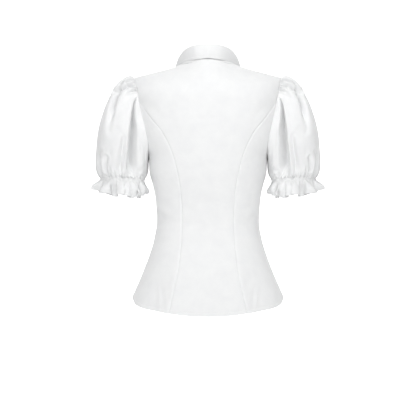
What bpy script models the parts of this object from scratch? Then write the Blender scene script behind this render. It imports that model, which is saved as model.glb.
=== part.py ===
"""White fitted blouse with a shirt collar, princess seams and short puff sleeves that end in a ruffle.

The cloth keeps the hollow form that it has when worn. Every cut piece is its own closed wall of cloth.
Lengths are in millimetres here and become metres where a mesh is made. +X is the wearer's left, the
front faces -Y and +Z is up. The origin lies mid-neck, at the height of the shoulder-neck points.
"""

import math

import bpy
import numpy as np

MM = 0.001


def table(columns, *rows):
    """A table whose columns are read by name; the first one says where each row applies."""
    return dict(zip(columns.split(), np.array(sorted(rows), dtype=float).T))


# Cloth and seams
CLOTH = 1.2
SEAM_GAP = 0.3
HALF = CLOTH / 2

# Torso: level sections, each a rounded oval that is deeper in front than at the back
SECTION_ROUNDNESS = 2.3
SECTIONS = table(
    "height half_width back front",
    (-625, 205.0, 131.0, 135.0),
    (-573, 188.0, 122.0, 128.0),
    (-545, 176.0, 116.0, 123.0),
    (-507, 160.0, 107.0, 117.0),
    (-470, 146.0, 97.0, 112.0),
    (-432, 134.5, 86.0, 105.0),
    (-385, 127.3, 77.0, 99.0),
    (-345, 129.5, 80.0, 106.0),
    (-318, 132.5, 85.0, 114.0),
    (-290, 139.0, 90.0, 122.0),
    (-267, 145.5, 94.0, 127.0),
    (-225, 148.0, 97.5, 129.0),
    (-200, 160.0, 99.0, 124.0),
    (-150, 177.0, 100.0, 109.0),
    (-90, 182.0, 98.0, 93.0),
    (-28, 190.0, 92.0, 81.0),
    (60, 196.0, 86.0, 72.0),
)

# Shoulders: above this height the sections close over towards the shoulder line
SPRING = -90.0
SHOULDER_AT_CENTRE = 19.0
SHOULDER_SLOPE = 0.25
SHOULDER_TIP = 184.0
NECK_RISE = 38.0
NECK_SPREAD = 45.0

# Neckline in plan, and the front edges
NECK_HALF_WIDTH = 68.0
NECK_BACK = 60.0
NECK_FRONT = 84.0
OVERLAP = 13.0
UNDERLAP_DROP = CLOTH + 2 * SEAM_GAP
UNDERLAP_FADE = 34.0

# Armhole: how far out its edge lies at each height
UNDERARM = -225.0
ARMHOLE = table(
    "height back front",
    (UNDERARM, 148.0, 148.0),
    (-214, 147.2, 146.2),
    (-200, 147.0, 145.5),
    (-175, 150.5, 148.5),
    (-150, 156.0, 153.5),
    (-120, 163.5, 160.0),
    (SPRING, 170.0, 166.5),
    (-60, 176.5, 174.5),
    (SHOULDER_AT_CENTRE - SHOULDER_SLOPE * SHOULDER_TIP, SHOULDER_TIP, SHOULDER_TIP),
)

# Princess seams, from the hem up to the armhole
PRINCESS = table(
    "height back front",
    (-625, 99.0, 106.0),
    (-570, 87.5, 97.0),
    (-522, 76.4, 88.0),
    (-472, 69.3, 80.0),
    (-428, 65.4, 75.0),
    (-370, 64.0, 72.0),
    (-316, 67.0, 78.0),
    (-238, 81.5, 91.0),
    (-209, 91.3, 99.0),
    (-169, 111.0, 116.0),
    (-129, 142.5, 140.0),
    (SPRING, 170.0, 166.5),
)

# Hem: shirt-tail curve, from the side seam (0 degrees) to the middle of the back or front (90)
HEM_AT_SIDE = -573.0
HEM_DROP = 42.0
HEM = table(
    "turn share",
    (0, 0.0),
    (5, 0.035),
    (11, 0.16),
    (17, 0.36),
    (27, 0.58),
    (35, 0.68),
    (50, 0.83),
    (70, 0.96),
    (90, 1.0),
)

# Soft flare folds of the skirt, one between each princess seam and the side seam
FLARE_TOP = -480.0
FLARE_TURN = 37.0
FLARE_SPREAD = 8.0
FLARE_DEPTH = 5.0

# Collar stand and collar fall
STAND_TOP = {
    "half_width": 60.0,
    "back": 50.0,
    "front": 69.0,
    "back_height": 45.5,
    "side_height": 35.0,
    "front_height": -41.0,
}
STAND_RISE = 12.0
STAND_WRAP = CLOTH / 2 + SEAM_GAP
STAND_WRAP_FADE = 50.0
FALL_START = 4.0
FALL_ROLL = 9.0
FALL_DROP = 23.0
FALL_BULGE = 2.0
FALL_FRONT = 0.65
FALL_LEAN = 0.9
FALL_POINT_HANDLE = (20.0, -4.0, 14.0)
FALL_EDGE = table(
    "share x y z",
    (0.00, 0.0, 69.0, 15.2),
    (0.15, 31.0, 57.5, 13.4),
    (0.30, 57.0, 31.0, 10.2),
    (0.41, 71.0, 6.0, 7.4),
    (0.49, 79.5, -9.0, 3.0),
    (0.58, 84.0, -26.0, -2.0),
    (0.72, 82.0, -60.0, -26.0),
    (0.86, 73.0, -80.0, -50.0),
    (1.00, 62.0, -91.0, -72.0),
)

# Sleeve: each thread runs from the armhole to the cuff, pushed out by a handle at either end.
# Turn 0 is the outer side, 90 the back and 180 the side by the body. More cloth is gathered into
# the head than under the arm, so the place on the armhole lags behind the turn at the cuff.
SLEEVE_AXIS = np.array((0.984, 0.0, -0.18)) / math.hypot(0.984, 0.18)
SLEEVE = table(
    "turn armhole head_x head_y head_z cuff_x cuff_y cuff_z",
    (0, 0.0, 68.0, 0.0, 14.0, 34.0, 0.0, 70.0),
    (45, 21.0, 70.0, 36.0, 14.0, 31.0, 31.0, 60.0),
    (90, 46.0, 46.0, 46.0, 4.0, 10.0, 40.0, 40.0),
    (115, 62.0, 26.0, 36.0, -10.0, -2.0, 28.0, 30.0),
    (135, 88.0, 16.0, 20.0, -12.0, -9.0, 17.0, 28.0),
    (160, 136.0, 9.0, 9.0, -10.0, -10.0, 8.0, 14.0),
    (180, 180.0, 8.0, 0.0, -8.0, -19.0, 0.0, 16.0),
)
SLEEVE_THREADS = 60
SLEEVE_ROWS = (0.0, 0.05, 0.12, 0.22, 0.35, 0.49, 0.63, 0.76, 0.86, 0.94, 1.0)
CUFF_CENTRE = (214.0, 0.0, -277.0)
CUFF_HALF_WIDTH = 55.0
CUFF_HALF_DEPTH = 49.0
CUFF_TILT = 3.0
GATHERS = 15
CUFF_GATHER_DEPTH = 3.2
HEAD_GATHER_DEPTH = 2.6
HEAD_GATHER_REACH = 98.0
UNDERARM_TURN = 168.0
UNDERARM_FADE = 30.0

# Large folds of a sleeve: each row gives the share of the way down, the turn, the half-width in
# degrees and how far the cloth moves out
FOLD_COLUMNS = "share turn half_width out"
BACK_FOLDS = {
    "main_trough": table(
        FOLD_COLUMNS,
        (0.04, 106.0, 6.0, 0.0),
        (0.12, 108.0, 7.0, -9.0),
        (0.3, 112.0, 8.0, -15.0),
        (0.55, 114.0, 9.5, -18.0),
        (0.8, 115.0, 10.0, -16.0),
        (0.92, 115.0, 8.0, 0.0),
    ),
    "ridge_by_body": table(
        FOLD_COLUMNS,
        (0.1, 136.0, 9.0, 0.0),
        (0.35, 137.0, 10.0, 4.5),
        (0.7, 137.0, 10.0, 5.5),
        (0.92, 136.0, 8.0, 0.0),
    ),
    "outer_trough": table(
        FOLD_COLUMNS,
        (0.1, 43.0, 8.0, 0.0),
        (0.2, 45.0, 9.0, -8.0),
        (0.3, 49.0, 9.5, -7.0),
        (0.42, 54.0, 9.0, -4.0),
        (0.55, 59.0, 8.0, 0.0),
    ),
    "low_trough": table(
        FOLD_COLUMNS,
        (0.55, 92.0, 7.0, 0.0),
        (0.72, 91.0, 8.0, -5.5),
        (0.88, 88.0, 7.0, -5.0),
        (0.95, 87.0, 6.0, 0.0),
    ),
}
FRONT_FOLDS = {
    "main_trough": table(
        FOLD_COLUMNS,
        (0.05, 94.0, 7.0, 0.0),
        (0.15, 97.0, 8.0, -8.0),
        (0.45, 101.0, 9.5, -14.0),
        (0.75, 104.0, 10.0, -12.0),
        (0.92, 104.0, 8.0, 0.0),
    ),
    "ridge_by_body": table(
        FOLD_COLUMNS,
        (0.15, 128.0, 9.0, 0.0),
        (0.5, 130.0, 10.0, 4.5),
        (0.9, 129.0, 8.0, 0.0),
    ),
    "outer_trough": table(
        FOLD_COLUMNS,
        (0.12, 52.0, 8.0, 0.0),
        (0.26, 54.0, 9.0, -7.0),
        (0.42, 59.0, 9.0, -4.0),
        (0.56, 63.0, 8.0, 0.0),
    ),
    "low_trough": table(
        FOLD_COLUMNS,
        (0.55, 70.0, 7.0, 0.0),
        (0.74, 69.0, 8.0, -5.0),
        (0.9, 67.0, 7.0, -4.0),
        (0.95, 67.0, 6.0, 0.0),
    ),
}

# Cuff casing and ruffle
BAND_HEIGHT = 7.0
RUFFLE_WAVES = 12
RUFFLE_THREADS = 60
RUFFLE_DEPTH = 7.0
RUFFLE = table(
    "turn flare fall",
    (0, 14.0, 24.0),
    (50, 13.0, 32.0),
    (95, 11.0, 36.0),
    (135, 9.0, 37.0),
    (180, 3.0, 28.0),
)
RUFFLE_ROWS = (0.0, 0.3, 0.65, 1.0)

# Buttons down the front
BUTTON_HEIGHTS = (-110.0, -184.0, -258.0, -332.0, -406.0, -480.0)
BUTTON_RADIUS = 5.25
BUTTON_THICKNESS = 2.4
BUTTON_DISH = 0.7
BUTTON_SIDES = 16
BUTTON_LIFT = 0.5

# Grids of the panels
BACK_NECK_STEPS = 5
FRONT_NECK_STEPS = 4
SHOULDER_STEPS = 4
SIDE_COLUMNS = 7
ROWS_BELOW = 14
ROWS_ABOVE = 5
DENSE = 240


def smooth(rows, column, at):
    """One column of a table at the given places in its first column, by a smooth curve with no overshoot."""
    x, y = rows[next(iter(rows))], rows[column]
    step = np.diff(x)
    rate = np.diff(y) / step
    slope = np.zeros(len(x))
    slope[0] = rate[0]
    slope[-1] = rate[-1]
    turning = rate[:-1] * rate[1:] <= 0
    first = 2 * step[1:] + step[:-1]
    second = step[1:] + 2 * step[:-1]
    safe = np.where(turning, 1.0, rate[:-1]), np.where(turning, 1.0, rate[1:])
    slope[1:-1] = np.where(turning, 0.0, (first + second) / (first / safe[0] + second / safe[1]))
    at = np.clip(np.asarray(at, dtype=float), x[0], x[-1])
    i = np.clip(np.searchsorted(x, at, side="right") - 1, 0, len(x) - 2)
    t = (at - x[i]) / step[i]
    rise = y[i] * (1 + 2 * t) * (1 - t) ** 2 + y[i + 1] * t**2 * (3 - 2 * t)
    return rise + step[i] * (slope[i] * t * (1 - t) ** 2 - slope[i + 1] * t**2 * (1 - t))


def by_turn(rows, column, turn):
    """A table given for half a turn, read all the way round and level at both of its ends."""
    return smooth({**rows, "turn": -np.cos(np.radians(rows["turn"]))}, column, -np.cos(turn))


def from_outer(turn):
    """Degrees between a turn and the outer side, the same to the back and to the front."""
    return np.degrees(np.arccos(np.cos(turn)))


def ease(t):
    t = np.clip(t, 0.0, 1.0)
    return t * t * (3 - 2 * t)


def unit(v):
    return v / np.maximum(np.linalg.norm(v, axis=-1, keepdims=True), 1e-9)


def stack(x, y, z):
    return np.stack(np.broadcast_arrays(x, y, z), axis=-1).astype(float)


def half_width(z):
    return smooth(SECTIONS, "half_width", z)


def depth(z, side):
    """Depth of a section in the middle of the back (side 1) or of the front (side -1)."""
    back = smooth(SECTIONS, "back", z)
    front = smooth(SECTIONS, "front", z)
    return np.where(side > 0, back, front)


def depth_at(x, z, side):
    share = np.clip(1 - (np.abs(x) / half_width(z)) ** SECTION_ROUNDNESS, 0, 1)
    return depth(z, side) * share ** (1 / SECTION_ROUNDNESS)


def shoulder(x, side):
    """Height of the shoulder line, which rises beside the neck at the back."""
    from_centre = np.abs(x)
    neck = np.where(side > 0, from_centre, np.maximum(from_centre, NECK_HALF_WIDTH))
    rise = NECK_RISE * np.exp(-((neck / NECK_SPREAD) ** 2))
    return SHOULDER_AT_CENTRE - SHOULDER_SLOPE * from_centre + rise


def flare(turn, z):
    """How far the soft folds of the skirt move the cloth in, by the turn from the side seam."""
    from_side = np.degrees(np.arcsin(np.clip(np.abs(np.sin(turn)), 0, 1)))
    fold = np.exp(-(((from_side - FLARE_TURN) / FLARE_SPREAD) ** 2))
    return -FLARE_DEPTH * fold * ease((FLARE_TOP - z) / (FLARE_TOP - HEM_AT_SIDE))


def round_point(turn, z):
    """Point of the torso below the shoulders: turn 0 is the left side seam, a quarter turn the back."""
    side = np.where(np.sin(turn) >= 0, 1, -1)
    across = (np.abs(np.cos(turn)) / half_width(z)) ** SECTION_ROUNDNESS
    along = (np.abs(np.sin(turn)) / depth(z, side)) ** SECTION_ROUNDNESS
    radius = (across + along) ** (-1 / SECTION_ROUNDNESS) + flare(turn, z)
    return stack(radius * np.cos(turn), radius * np.sin(turn), z)


def over_point(x, lean, side):
    """Point of the torso where it closes over the shoulder: lean runs from 0 to a quarter turn on top."""
    z = SPRING + (shoulder(x, side) - SPRING) * np.sin(lean)
    return stack(x, side * depth_at(x, z, side) * np.cos(lean), z)


def normal_of(surface, a, b, step_a, step_b, *fixed):
    """Outward normal of a surface, from small steps to either side."""
    one = surface(a + step_a, b, *fixed) - surface(a - step_a, b, *fixed)
    two = surface(a, b + step_b, *fixed) - surface(a, b - step_b, *fixed)
    normal = unit(np.cross(one, two))
    here = surface(a, b, *fixed)
    middle = stack(here[..., 0] * 0.5, 0.0, np.minimum(here[..., 2], 2 * SPRING))
    outward = np.sum(normal * (here - middle), axis=-1, keepdims=True)
    return np.where(outward < 0, -normal, normal)


def skin(x, z, side):
    """Point and normal of the torso at a place seen from behind (side 1) or from in front (side -1)."""
    x, z = np.broadcast_arrays(np.asarray(x, dtype=float), np.asarray(z, dtype=float))
    turn = np.arctan2(side * depth_at(x, z, side), x)
    low = round_point(turn, z)
    low_normal = normal_of(round_point, turn, z, 1e-4, 0.02)
    share = np.clip((z - SPRING) / (shoulder(x, side) - SPRING), 0, 1)
    lean = np.arcsin(share)
    high = over_point(x, lean, side)
    high_normal = normal_of(over_point, x, lean, 0.02, 1e-4, side)
    is_low = (z <= SPRING)[..., None]
    return np.where(is_low, low, high), np.where(is_low, low_normal, high_normal)


def armhole_out(z, side):
    return smooth(ARMHOLE, "back" if side > 0 else "front", z)


def princess_out(z, side):
    return smooth(PRINCESS, "back" if side > 0 else "front", z)


def neck_height(x, side):
    """Height at which the torso meets the neckline's oval."""
    reach = NECK_BACK if side > 0 else NECK_FRONT
    y = reach * np.sqrt(np.clip(1 - (x / NECK_HALF_WIDTH) ** 2, 0, 1))
    z = np.zeros_like(y)
    for _ in range(40):
        lean = np.arccos(np.clip(y / depth_at(x, z, side), 0, 1))
        z = (z + SPRING + (shoulder(x, side) - SPRING) * np.sin(lean)) / 2
    return z


def hem_height(turn):
    from_side = np.degrees(np.arcsin(np.clip(np.abs(np.sin(turn)), 0, 1)))
    return HEM_AT_SIDE - HEM_DROP * smooth(HEM, "share", from_side)


def even(points, normals, count):
    """The same line with evenly spaced points along its length."""
    length = np.concatenate(([0.0], np.cumsum(np.linalg.norm(np.diff(points, axis=0), axis=1))))
    wanted = np.linspace(0, length[-1], count)
    places = np.stack([np.interp(wanted, length, points[:, k]) for k in range(3)], axis=-1)
    facing = np.stack([np.interp(wanted, length, normals[:, k]) for k in range(3)], axis=-1)
    return places, unit(facing)


def middle_column(x_of, side):
    """One line of a back or front panel, from the hem to the shoulder or the neckline."""
    bottom_x = x_of(HEM_AT_SIDE - HEM_DROP / 2)
    bottom = float(hem_height(np.arctan2(depth_at(bottom_x, HEM_AT_SIDE, side), bottom_x)))
    top = float(shoulder(x_of(0.0), side))
    if abs(x_of(0.0)) < NECK_HALF_WIDTH:
        for _ in range(20):
            top = float(neck_height(x_of(top), side) + top) / 2
    share = np.linspace(0, 1, DENSE)
    low = bottom + (SPRING - bottom) * share
    high = SPRING + (top - SPRING) * (1 - (1 - share) ** 2)
    below = even(*skin(x_of(low), low, side), ROWS_BELOW + 1)
    above = even(*skin(x_of(high), high, side), ROWS_ABOVE + 1)
    return tuple(np.concatenate((one, two[1:])) for one, two in zip(below, above))


def middle_panel(strip, start, shares, side):
    """Left half of a back or front panel: columns of a straight strip, then shares out from start."""
    tip = ARMHOLE["height"][-1]
    columns = []
    for x in strip:
        columns.append(middle_column(lambda z, x=x: x + 0.0 * z, side))
    for share in shares:
        def x_of(z, share=share):
            edge = np.where(z < SPRING, princess_out(z, side), armhole_out(np.minimum(z, tip), side))
            return start + (edge - start) * share
        columns.append(middle_column(x_of, side))
    return np.stack([c[0] for c in columns]), np.stack([c[1] for c in columns])


def side_panel(columns, side):
    """Panel on the left between the princess seam (first column) and the side seam (last column)."""
    def princess_turn(z):
        x = princess_out(z, side)
        return np.arctan2(depth_at(x, z, side), x)

    def armhole_turn(z):
        x = armhole_out(z, side)
        return np.arctan2(depth_at(x, z, side), x)

    grid = []
    for share in np.linspace(0, 1, columns + 1):
        low, high = UNDERARM, SPRING
        for _ in range(50):
            middle = (low + high) / 2
            inside = princess_turn(middle) * (1 - share) > armhole_turn(middle)
            low, high = (middle, high) if inside else (low, middle)
        top = SPRING if share == 0 else (UNDERARM if share == 1 else low)
        bottom = float(hem_height(princess_turn(HEM_AT_SIDE - HEM_DROP / 2) * (1 - share)))
        if share == 0:
            x = princess_out(HEM_AT_SIDE - HEM_DROP / 2, side)
            bottom = float(hem_height(np.arctan2(depth_at(x, HEM_AT_SIDE, side), x)))
        z = np.linspace(bottom, top, DENSE)
        turn = side * princess_turn(z) * (1 - share)
        grid.append(even(round_point(turn, z), normal_of(round_point, turn, z, 1e-4, 0.02), ROWS_BELOW + 1))
    return np.stack([c[0] for c in grid]), np.stack([c[1] for c in grid])


def trimmed(points, normals, edges):
    """The grid with half a seam gap taken off each named edge, in the plane of the cloth."""
    points = points.copy()
    picks = {
        "first": (np.s_[0], np.s_[1]),
        "last": (np.s_[-1], np.s_[-2]),
        "top": (np.s_[:, -1], np.s_[:, -2]),
    }
    for edge in edges:
        here, inner = picks[edge]
        along = np.gradient(points[here], axis=0)
        across = unit(np.cross(normals[here], along))
        inward = np.sum(across * (points[inner] - points[here]), axis=-1, keepdims=True)
        points[here] += np.where(inward < 0, -across, across) * SEAM_GAP / 2
    return points


def wall(name, outer, inner, ring, material):
    """Closed wall of cloth between two grids of points; a ring joins its last column to its first."""
    columns, rows = outer.shape[:2]
    layer = columns * rows

    def at(side, i, j):
        return side * layer + (i % columns) * rows + j

    faces = []
    for i in range(columns if ring else columns - 1):
        for j in range(rows - 1):
            faces.append((at(0, i, j), at(0, i + 1, j), at(0, i + 1, j + 1), at(0, i, j + 1)))
            faces.append((at(1, i, j), at(1, i, j + 1), at(1, i + 1, j + 1), at(1, i + 1, j)))
        faces.append((at(0, i, 0), at(1, i, 0), at(1, i + 1, 0), at(0, i + 1, 0)))
        top = rows - 1
        faces.append((at(0, i, top), at(0, i + 1, top), at(1, i + 1, top), at(1, i, top)))
    if not ring:
        for j in range(rows - 1):
            faces.append((at(0, 0, j), at(0, 0, j + 1), at(1, 0, j + 1), at(1, 0, j)))
            last = columns - 1
            faces.append((at(0, last, j), at(1, last, j), at(1, last, j + 1), at(0, last, j + 1)))
    places = np.concatenate((outer.reshape(-1, 3), inner.reshape(-1, 3)))
    return add_mesh(name, places, faces, material)


def add_mesh(name, places, faces, material):
    """Object from points in millimetres, its faces turned to point out of the solid."""
    corners = [places[list(face)] for face in faces]
    volume = sum(
        float(np.dot(c[0], np.cross(c[k], c[k + 1]))) for c in corners for k in range(1, len(c) - 1)
    )
    if volume < 0:
        faces = [tuple(reversed(face)) for face in faces]
    mesh = bpy.data.meshes.new(name)
    mesh.from_pydata([tuple(p) for p in places * MM], [], faces)
    mesh.validate()
    mesh.shade_smooth()
    mesh.set_sharp_from_angle(angle=math.radians(50))
    mesh.materials.append(material)
    built = bpy.data.objects.new(name, mesh)
    bpy.context.scene.collection.objects.link(built)
    return built


def cloth_wall(name, points, normals, ring, material, thickness=CLOTH):
    return wall(name, points + normals * thickness / 2, points - normals * thickness / 2, ring, material)


def mirrored(points):
    return points * np.array((-1.0, 1.0, 1.0))


def cloth_material(name, colour, roughness, sheen):
    material = bpy.data.materials.new(name)
    material.use_nodes = True
    shader = material.node_tree.nodes["Principled BSDF"]
    shader.inputs["Base Color"].default_value = (*colour, 1.0)
    shader.inputs["Roughness"].default_value = roughness
    shader.inputs["Metallic"].default_value = 0.0
    shader.inputs["Sheen Weight"].default_value = sheen
    return material


def neck_shares(start, steps):
    """Columns of a panel: even turns about the neck from its start, then even steps over the shoulder."""
    across = NECK_HALF_WIDTH * np.sin(np.linspace(math.asin(start / NECK_HALF_WIDTH), math.pi / 2, steps + 1))
    neck = (across - start) / (SHOULDER_TIP - start)
    return np.concatenate((neck, np.linspace(neck[-1], 1, SHOULDER_STEPS + 1)[1:]))


def back_grid():
    """Points and normals of the left half of the back, from its middle to the princess seam."""
    return middle_panel((), 0.0, neck_shares(0.0, BACK_NECK_STEPS), 1)


def front_grid():
    """Points and normals of the left front, from its edge past the middle to the princess seam."""
    return middle_panel((-OVERLAP, 0.0), OVERLAP, neck_shares(OVERLAP, FRONT_NECK_STEPS), -1)


def build_back(material):
    """Middle back panel, between the princess seams, with the shoulder seams and half the neckline."""
    left, facing = back_grid()
    points = np.concatenate((mirrored(left[:0:-1]), left))
    normals = np.concatenate((mirrored(facing[:0:-1]), facing))
    cloth_wall("back_panel", trimmed(points, normals, ("first", "last", "top")), normals, False, material)


def build_side_panels(material):
    for name, side in (("side_back", 1), ("side_front", -1)):
        points, normals = side_panel(SIDE_COLUMNS, side)
        points = trimmed(points, normals, ("first", "last"))
        cloth_wall(f"{name}_left", points, normals, False, material)
        cloth_wall(f"{name}_right", mirrored(points), mirrored(normals), False, material)


def build_fronts(material):
    """The right front lies over the left one, which drops under it near the middle."""
    points, normals = front_grid()
    over = trimmed(points, normals, ("last", "top"))
    cloth_wall("front_right", mirrored(over), mirrored(normals), False, material)
    drop = UNDERLAP_DROP * (1 - ease((points[..., :1] - OVERLAP) / UNDERLAP_FADE))
    under = trimmed(points - normals * drop, normals, ("last", "top"))
    cloth_wall("front_left", under, normals, False, material)


def build_placket(material):
    """Band sewn down the edge of the right front, made from that front's own points, moved out."""
    points, normals = (mirrored(grid[:3]) for grid in front_grid())
    lifted = points + normals * (CLOTH + SEAM_GAP)
    cloth_wall("placket", trimmed(lifted, normals, ("top",)), normals, False, material)


def halved(line):
    """The line with a point added in the middle of each step."""
    out = np.empty((2 * len(line) - 1, 3))
    out[::2] = line
    out[1::2] = (line[1:] + line[:-1]) / 2
    return out


def neck_line():
    """Neckline through the panels' own points, from the left front's edge round the back to the right's."""
    front, front_facing = front_grid()
    back, back_facing = back_grid()
    parts = []
    for front_row, back_row in ((front[:, -1], back[:, -1]), (front_facing[:, -1], back_facing[:, -1])):
        rising = front_row[: FRONT_NECK_STEPS + 3]
        across = back_row[: BACK_NECK_STEPS + 1]
        half = np.concatenate((rising, across[-2:0:-1]))
        parts.append(halved(np.concatenate((half, across[:1], mirrored(half)[::-1]))))
    points, normals = parts[0], unit(parts[1])
    upward = unit(np.cross(normals, np.gradient(points, axis=0)))
    upward = np.where(upward[:, 2:] < 0, -upward, upward)
    reach = np.where(points[:, 1] >= 0, NECK_BACK, NECK_FRONT)
    turn = np.arctan2(points[:, 1] / reach, points[:, 0] / NECK_HALF_WIDTH)
    return points, normals, upward, np.unwrap(turn)


def stand_top(turn):
    """Upper edge of the collar stand."""
    back = np.sin(turn) >= 0
    reach = np.where(back, STAND_TOP["back"], STAND_TOP["front"])
    end_height = np.where(back, STAND_TOP["back_height"], STAND_TOP["front_height"])
    share = np.sin(turn) ** 2
    z = STAND_TOP["side_height"] * (1 - share) + end_height * share
    return stack(STAND_TOP["half_width"] * np.cos(turn), reach * np.sin(turn), z)


def stand_wrap(turn):
    """Outward step of the stand: its right end passes over its left end in front."""
    from_back = np.degrees(turn - math.pi / 2)
    reach = np.max(np.abs(from_back)) - STAND_WRAP_FADE
    share = ease((np.abs(from_back) - reach) / STAND_WRAP_FADE)
    return np.sign(from_back) * share * STAND_WRAP


def stand_grid():
    """Points, normals and turns of the collar stand, which rises from the neckline."""
    points, normals, upward, turn = neck_line()
    start = points + upward * SEAM_GAP
    end = stand_top(turn)
    handle = start + upward * STAND_RISE
    share = np.linspace(0, 1, 3)[None, :, None]
    grid = (
        start[:, None] * (1 - share) ** 2
        + handle[:, None] * 2 * share * (1 - share)
        + end[:, None] * share**2
    )
    facing = grid_normals(grid, False)
    return grid + facing * stand_wrap(turn)[:, None, None], facing, turn


def grid_normals(grid, ring):
    """Normals of a grid of points that stands round a vertical hollow, pointing out of it."""
    padded = np.concatenate((grid[-1:], grid, grid[:1])) if ring else grid
    around = np.gradient(padded, axis=0)
    around = around[1:-1] if ring else around
    normal = unit(np.cross(around, np.gradient(grid, axis=1)))
    middle = grid.mean(axis=(0, 1))
    away = np.sum(normal * (grid - middle), axis=-1)
    return normal if np.sum(away) > 0 else -normal


def build_stand(material):
    points, normals, _ = stand_grid()
    cloth_wall("collar_stand", points, normals, False, material)


def fall_edge(share):
    """Outer edge of the collar fall, from share -1 at the right point to 1 at the left one."""
    at = np.abs(share)
    x, y, z = (smooth(FALL_EDGE, name, at) for name in "xyz")
    return stack(x * np.sign(share), y, z)


def build_fall(material):
    """Collar fall, which rolls over the top of the stand and lies down round the neck."""
    gap = math.asin(FALL_START / STAND_TOP["half_width"])
    stand, stand_facing, stand_turn = stand_grid()
    ends = np.array((gap - math.pi / 2, 3 * math.pi / 2 - gap))
    between = stand_turn[(stand_turn > ends[0] + gap) & (stand_turn < ends[1] - gap)]
    turn = np.concatenate((ends[:1], between, ends[1:]))
    share = (math.pi / 2 - turn) / (math.pi - gap)
    rising = unit(np.cross(stand_facing[:, -1], np.gradient(stand[:, -1], axis=0)))
    rising = np.where(rising[:, 2:] < 0, -rising, rising)
    top, rising, facing = (
        np.stack([np.interp(turn, stand_turn, line[:, k]) for k in range(3)], axis=-1)
        for line in (stand[:, -1], rising, stand_facing[:, -1])
    )
    start = top + unit(rising) * 3 * SEAM_GAP
    end = fall_edge(share)
    outward = unit((end - start) * np.array((1.0, 1.0, 0.0)))
    up = np.array((0.0, 0.0, 1.0))
    front = ease((np.abs(share) - FALL_FRONT) / (1 - FALL_FRONT))[:, None]
    first = start + (unit(rising) + facing * FALL_LEAN * front) * FALL_ROLL
    at_point = stack(-FALL_POINT_HANDLE[0] * np.sign(share), FALL_POINT_HANDLE[1], FALL_POINT_HANDLE[2])
    second = end + (up * FALL_DROP + outward * FALL_BULGE) * (1 - front) + at_point * front
    t = np.linspace(0, 1, 7)[None, :, None]
    grid = (
        start[:, None] * (1 - t) ** 3
        + first[:, None] * 3 * t * (1 - t) ** 2
        + second[:, None] * 3 * t**2 * (1 - t)
        + end[:, None] * t**3
    )
    cloth_wall("collar_fall", grid, grid_normals(grid, False), False, material)


def armhole_half(side):
    """Half of the left armhole, from the shoulder tip down to the underarm, along the panels' own points."""
    middle = back_grid() if side > 0 else front_grid()
    outer = side_panel(SIDE_COLUMNS, side)
    lines = [np.concatenate((one[-1, :ROWS_BELOW:-1], two[:, -1])) for one, two in zip(middle, outer)]
    return even(*lines, DENSE)


def armhole_loop(turn):
    """Points and normals of the left armhole: turn 0 is the shoulder tip, a quarter turn the back."""
    points = np.zeros((len(turn), 3))
    normals = np.zeros((len(turn), 3))
    for side in (1, -1):
        line, facing = armhole_half(side)
        here = (np.sin(turn) >= 0) if side > 0 else (np.sin(turn) < 0)
        share = np.arccos(np.cos(turn[here])) / math.pi * (DENSE - 1)
        for k in range(3):
            points[here, k] = np.interp(share, np.arange(DENSE), line[:, k])
            normals[here, k] = np.interp(share, np.arange(DENSE), facing[:, k])
    return points, unit(normals)


def cuff_point(turn, drop, grow):
    """Point on the cuff's oval, lowered by drop and moved out by grow; its inner side hangs lower."""
    x, y, z = CUFF_CENTRE
    across = np.cos(turn)
    tilt = CUFF_TILT * across
    return stack(
        x + (CUFF_HALF_WIDTH + grow) * across, y + (CUFF_HALF_DEPTH + grow) * np.sin(turn), z + tilt - drop
    )


def fold_shift(away, share, folds):
    """How far the folds of one side move the cloth out, by degrees from the outer side and share down."""
    shift = np.zeros_like(share)
    for rows in folds.values():
        spread = (away - smooth(rows, "turn", share)) / smooth(rows, "half_width", share)
        shift += smooth(rows, "out", share) * np.exp(-(spread**2))
    return shift


def gather_shift(turn, share):
    """Gathers that fan out from the sleeve's head and from its cuff, uneven in size and spacing."""
    uneven = 0.35 * np.sin(2 * turn + 0.6) + 0.25 * np.sin(5 * turn + 1.9)
    wave = np.cos(GATHERS * turn + uneven)
    at_cuff = wave * (0.75 + 0.25 * np.sin(3 * turn + 0.4))
    near_cuff = ease((share - 0.72) / 0.2) * (1 - 0.75 * ease((share - 0.93) / 0.07))
    at_head = wave * ease((HEAD_GATHER_REACH - from_outer(turn)) / 25.0)
    near_head = ease(share / 0.05) * (1 - ease((share - 0.08) / 0.22))
    return CUFF_GATHER_DEPTH * at_cuff * near_cuff + HEAD_GATHER_DEPTH * at_head * near_head


def thread(points):
    """One thread of the sleeve at the rows' shares of its length."""
    length = np.concatenate(([0.0], np.cumsum(np.linalg.norm(np.diff(points, axis=0), axis=1))))
    wanted = np.array(SLEEVE_ROWS) * length[-1]
    return np.stack([np.interp(wanted, length, points[:, k]) for k in range(3)], axis=-1)


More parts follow.
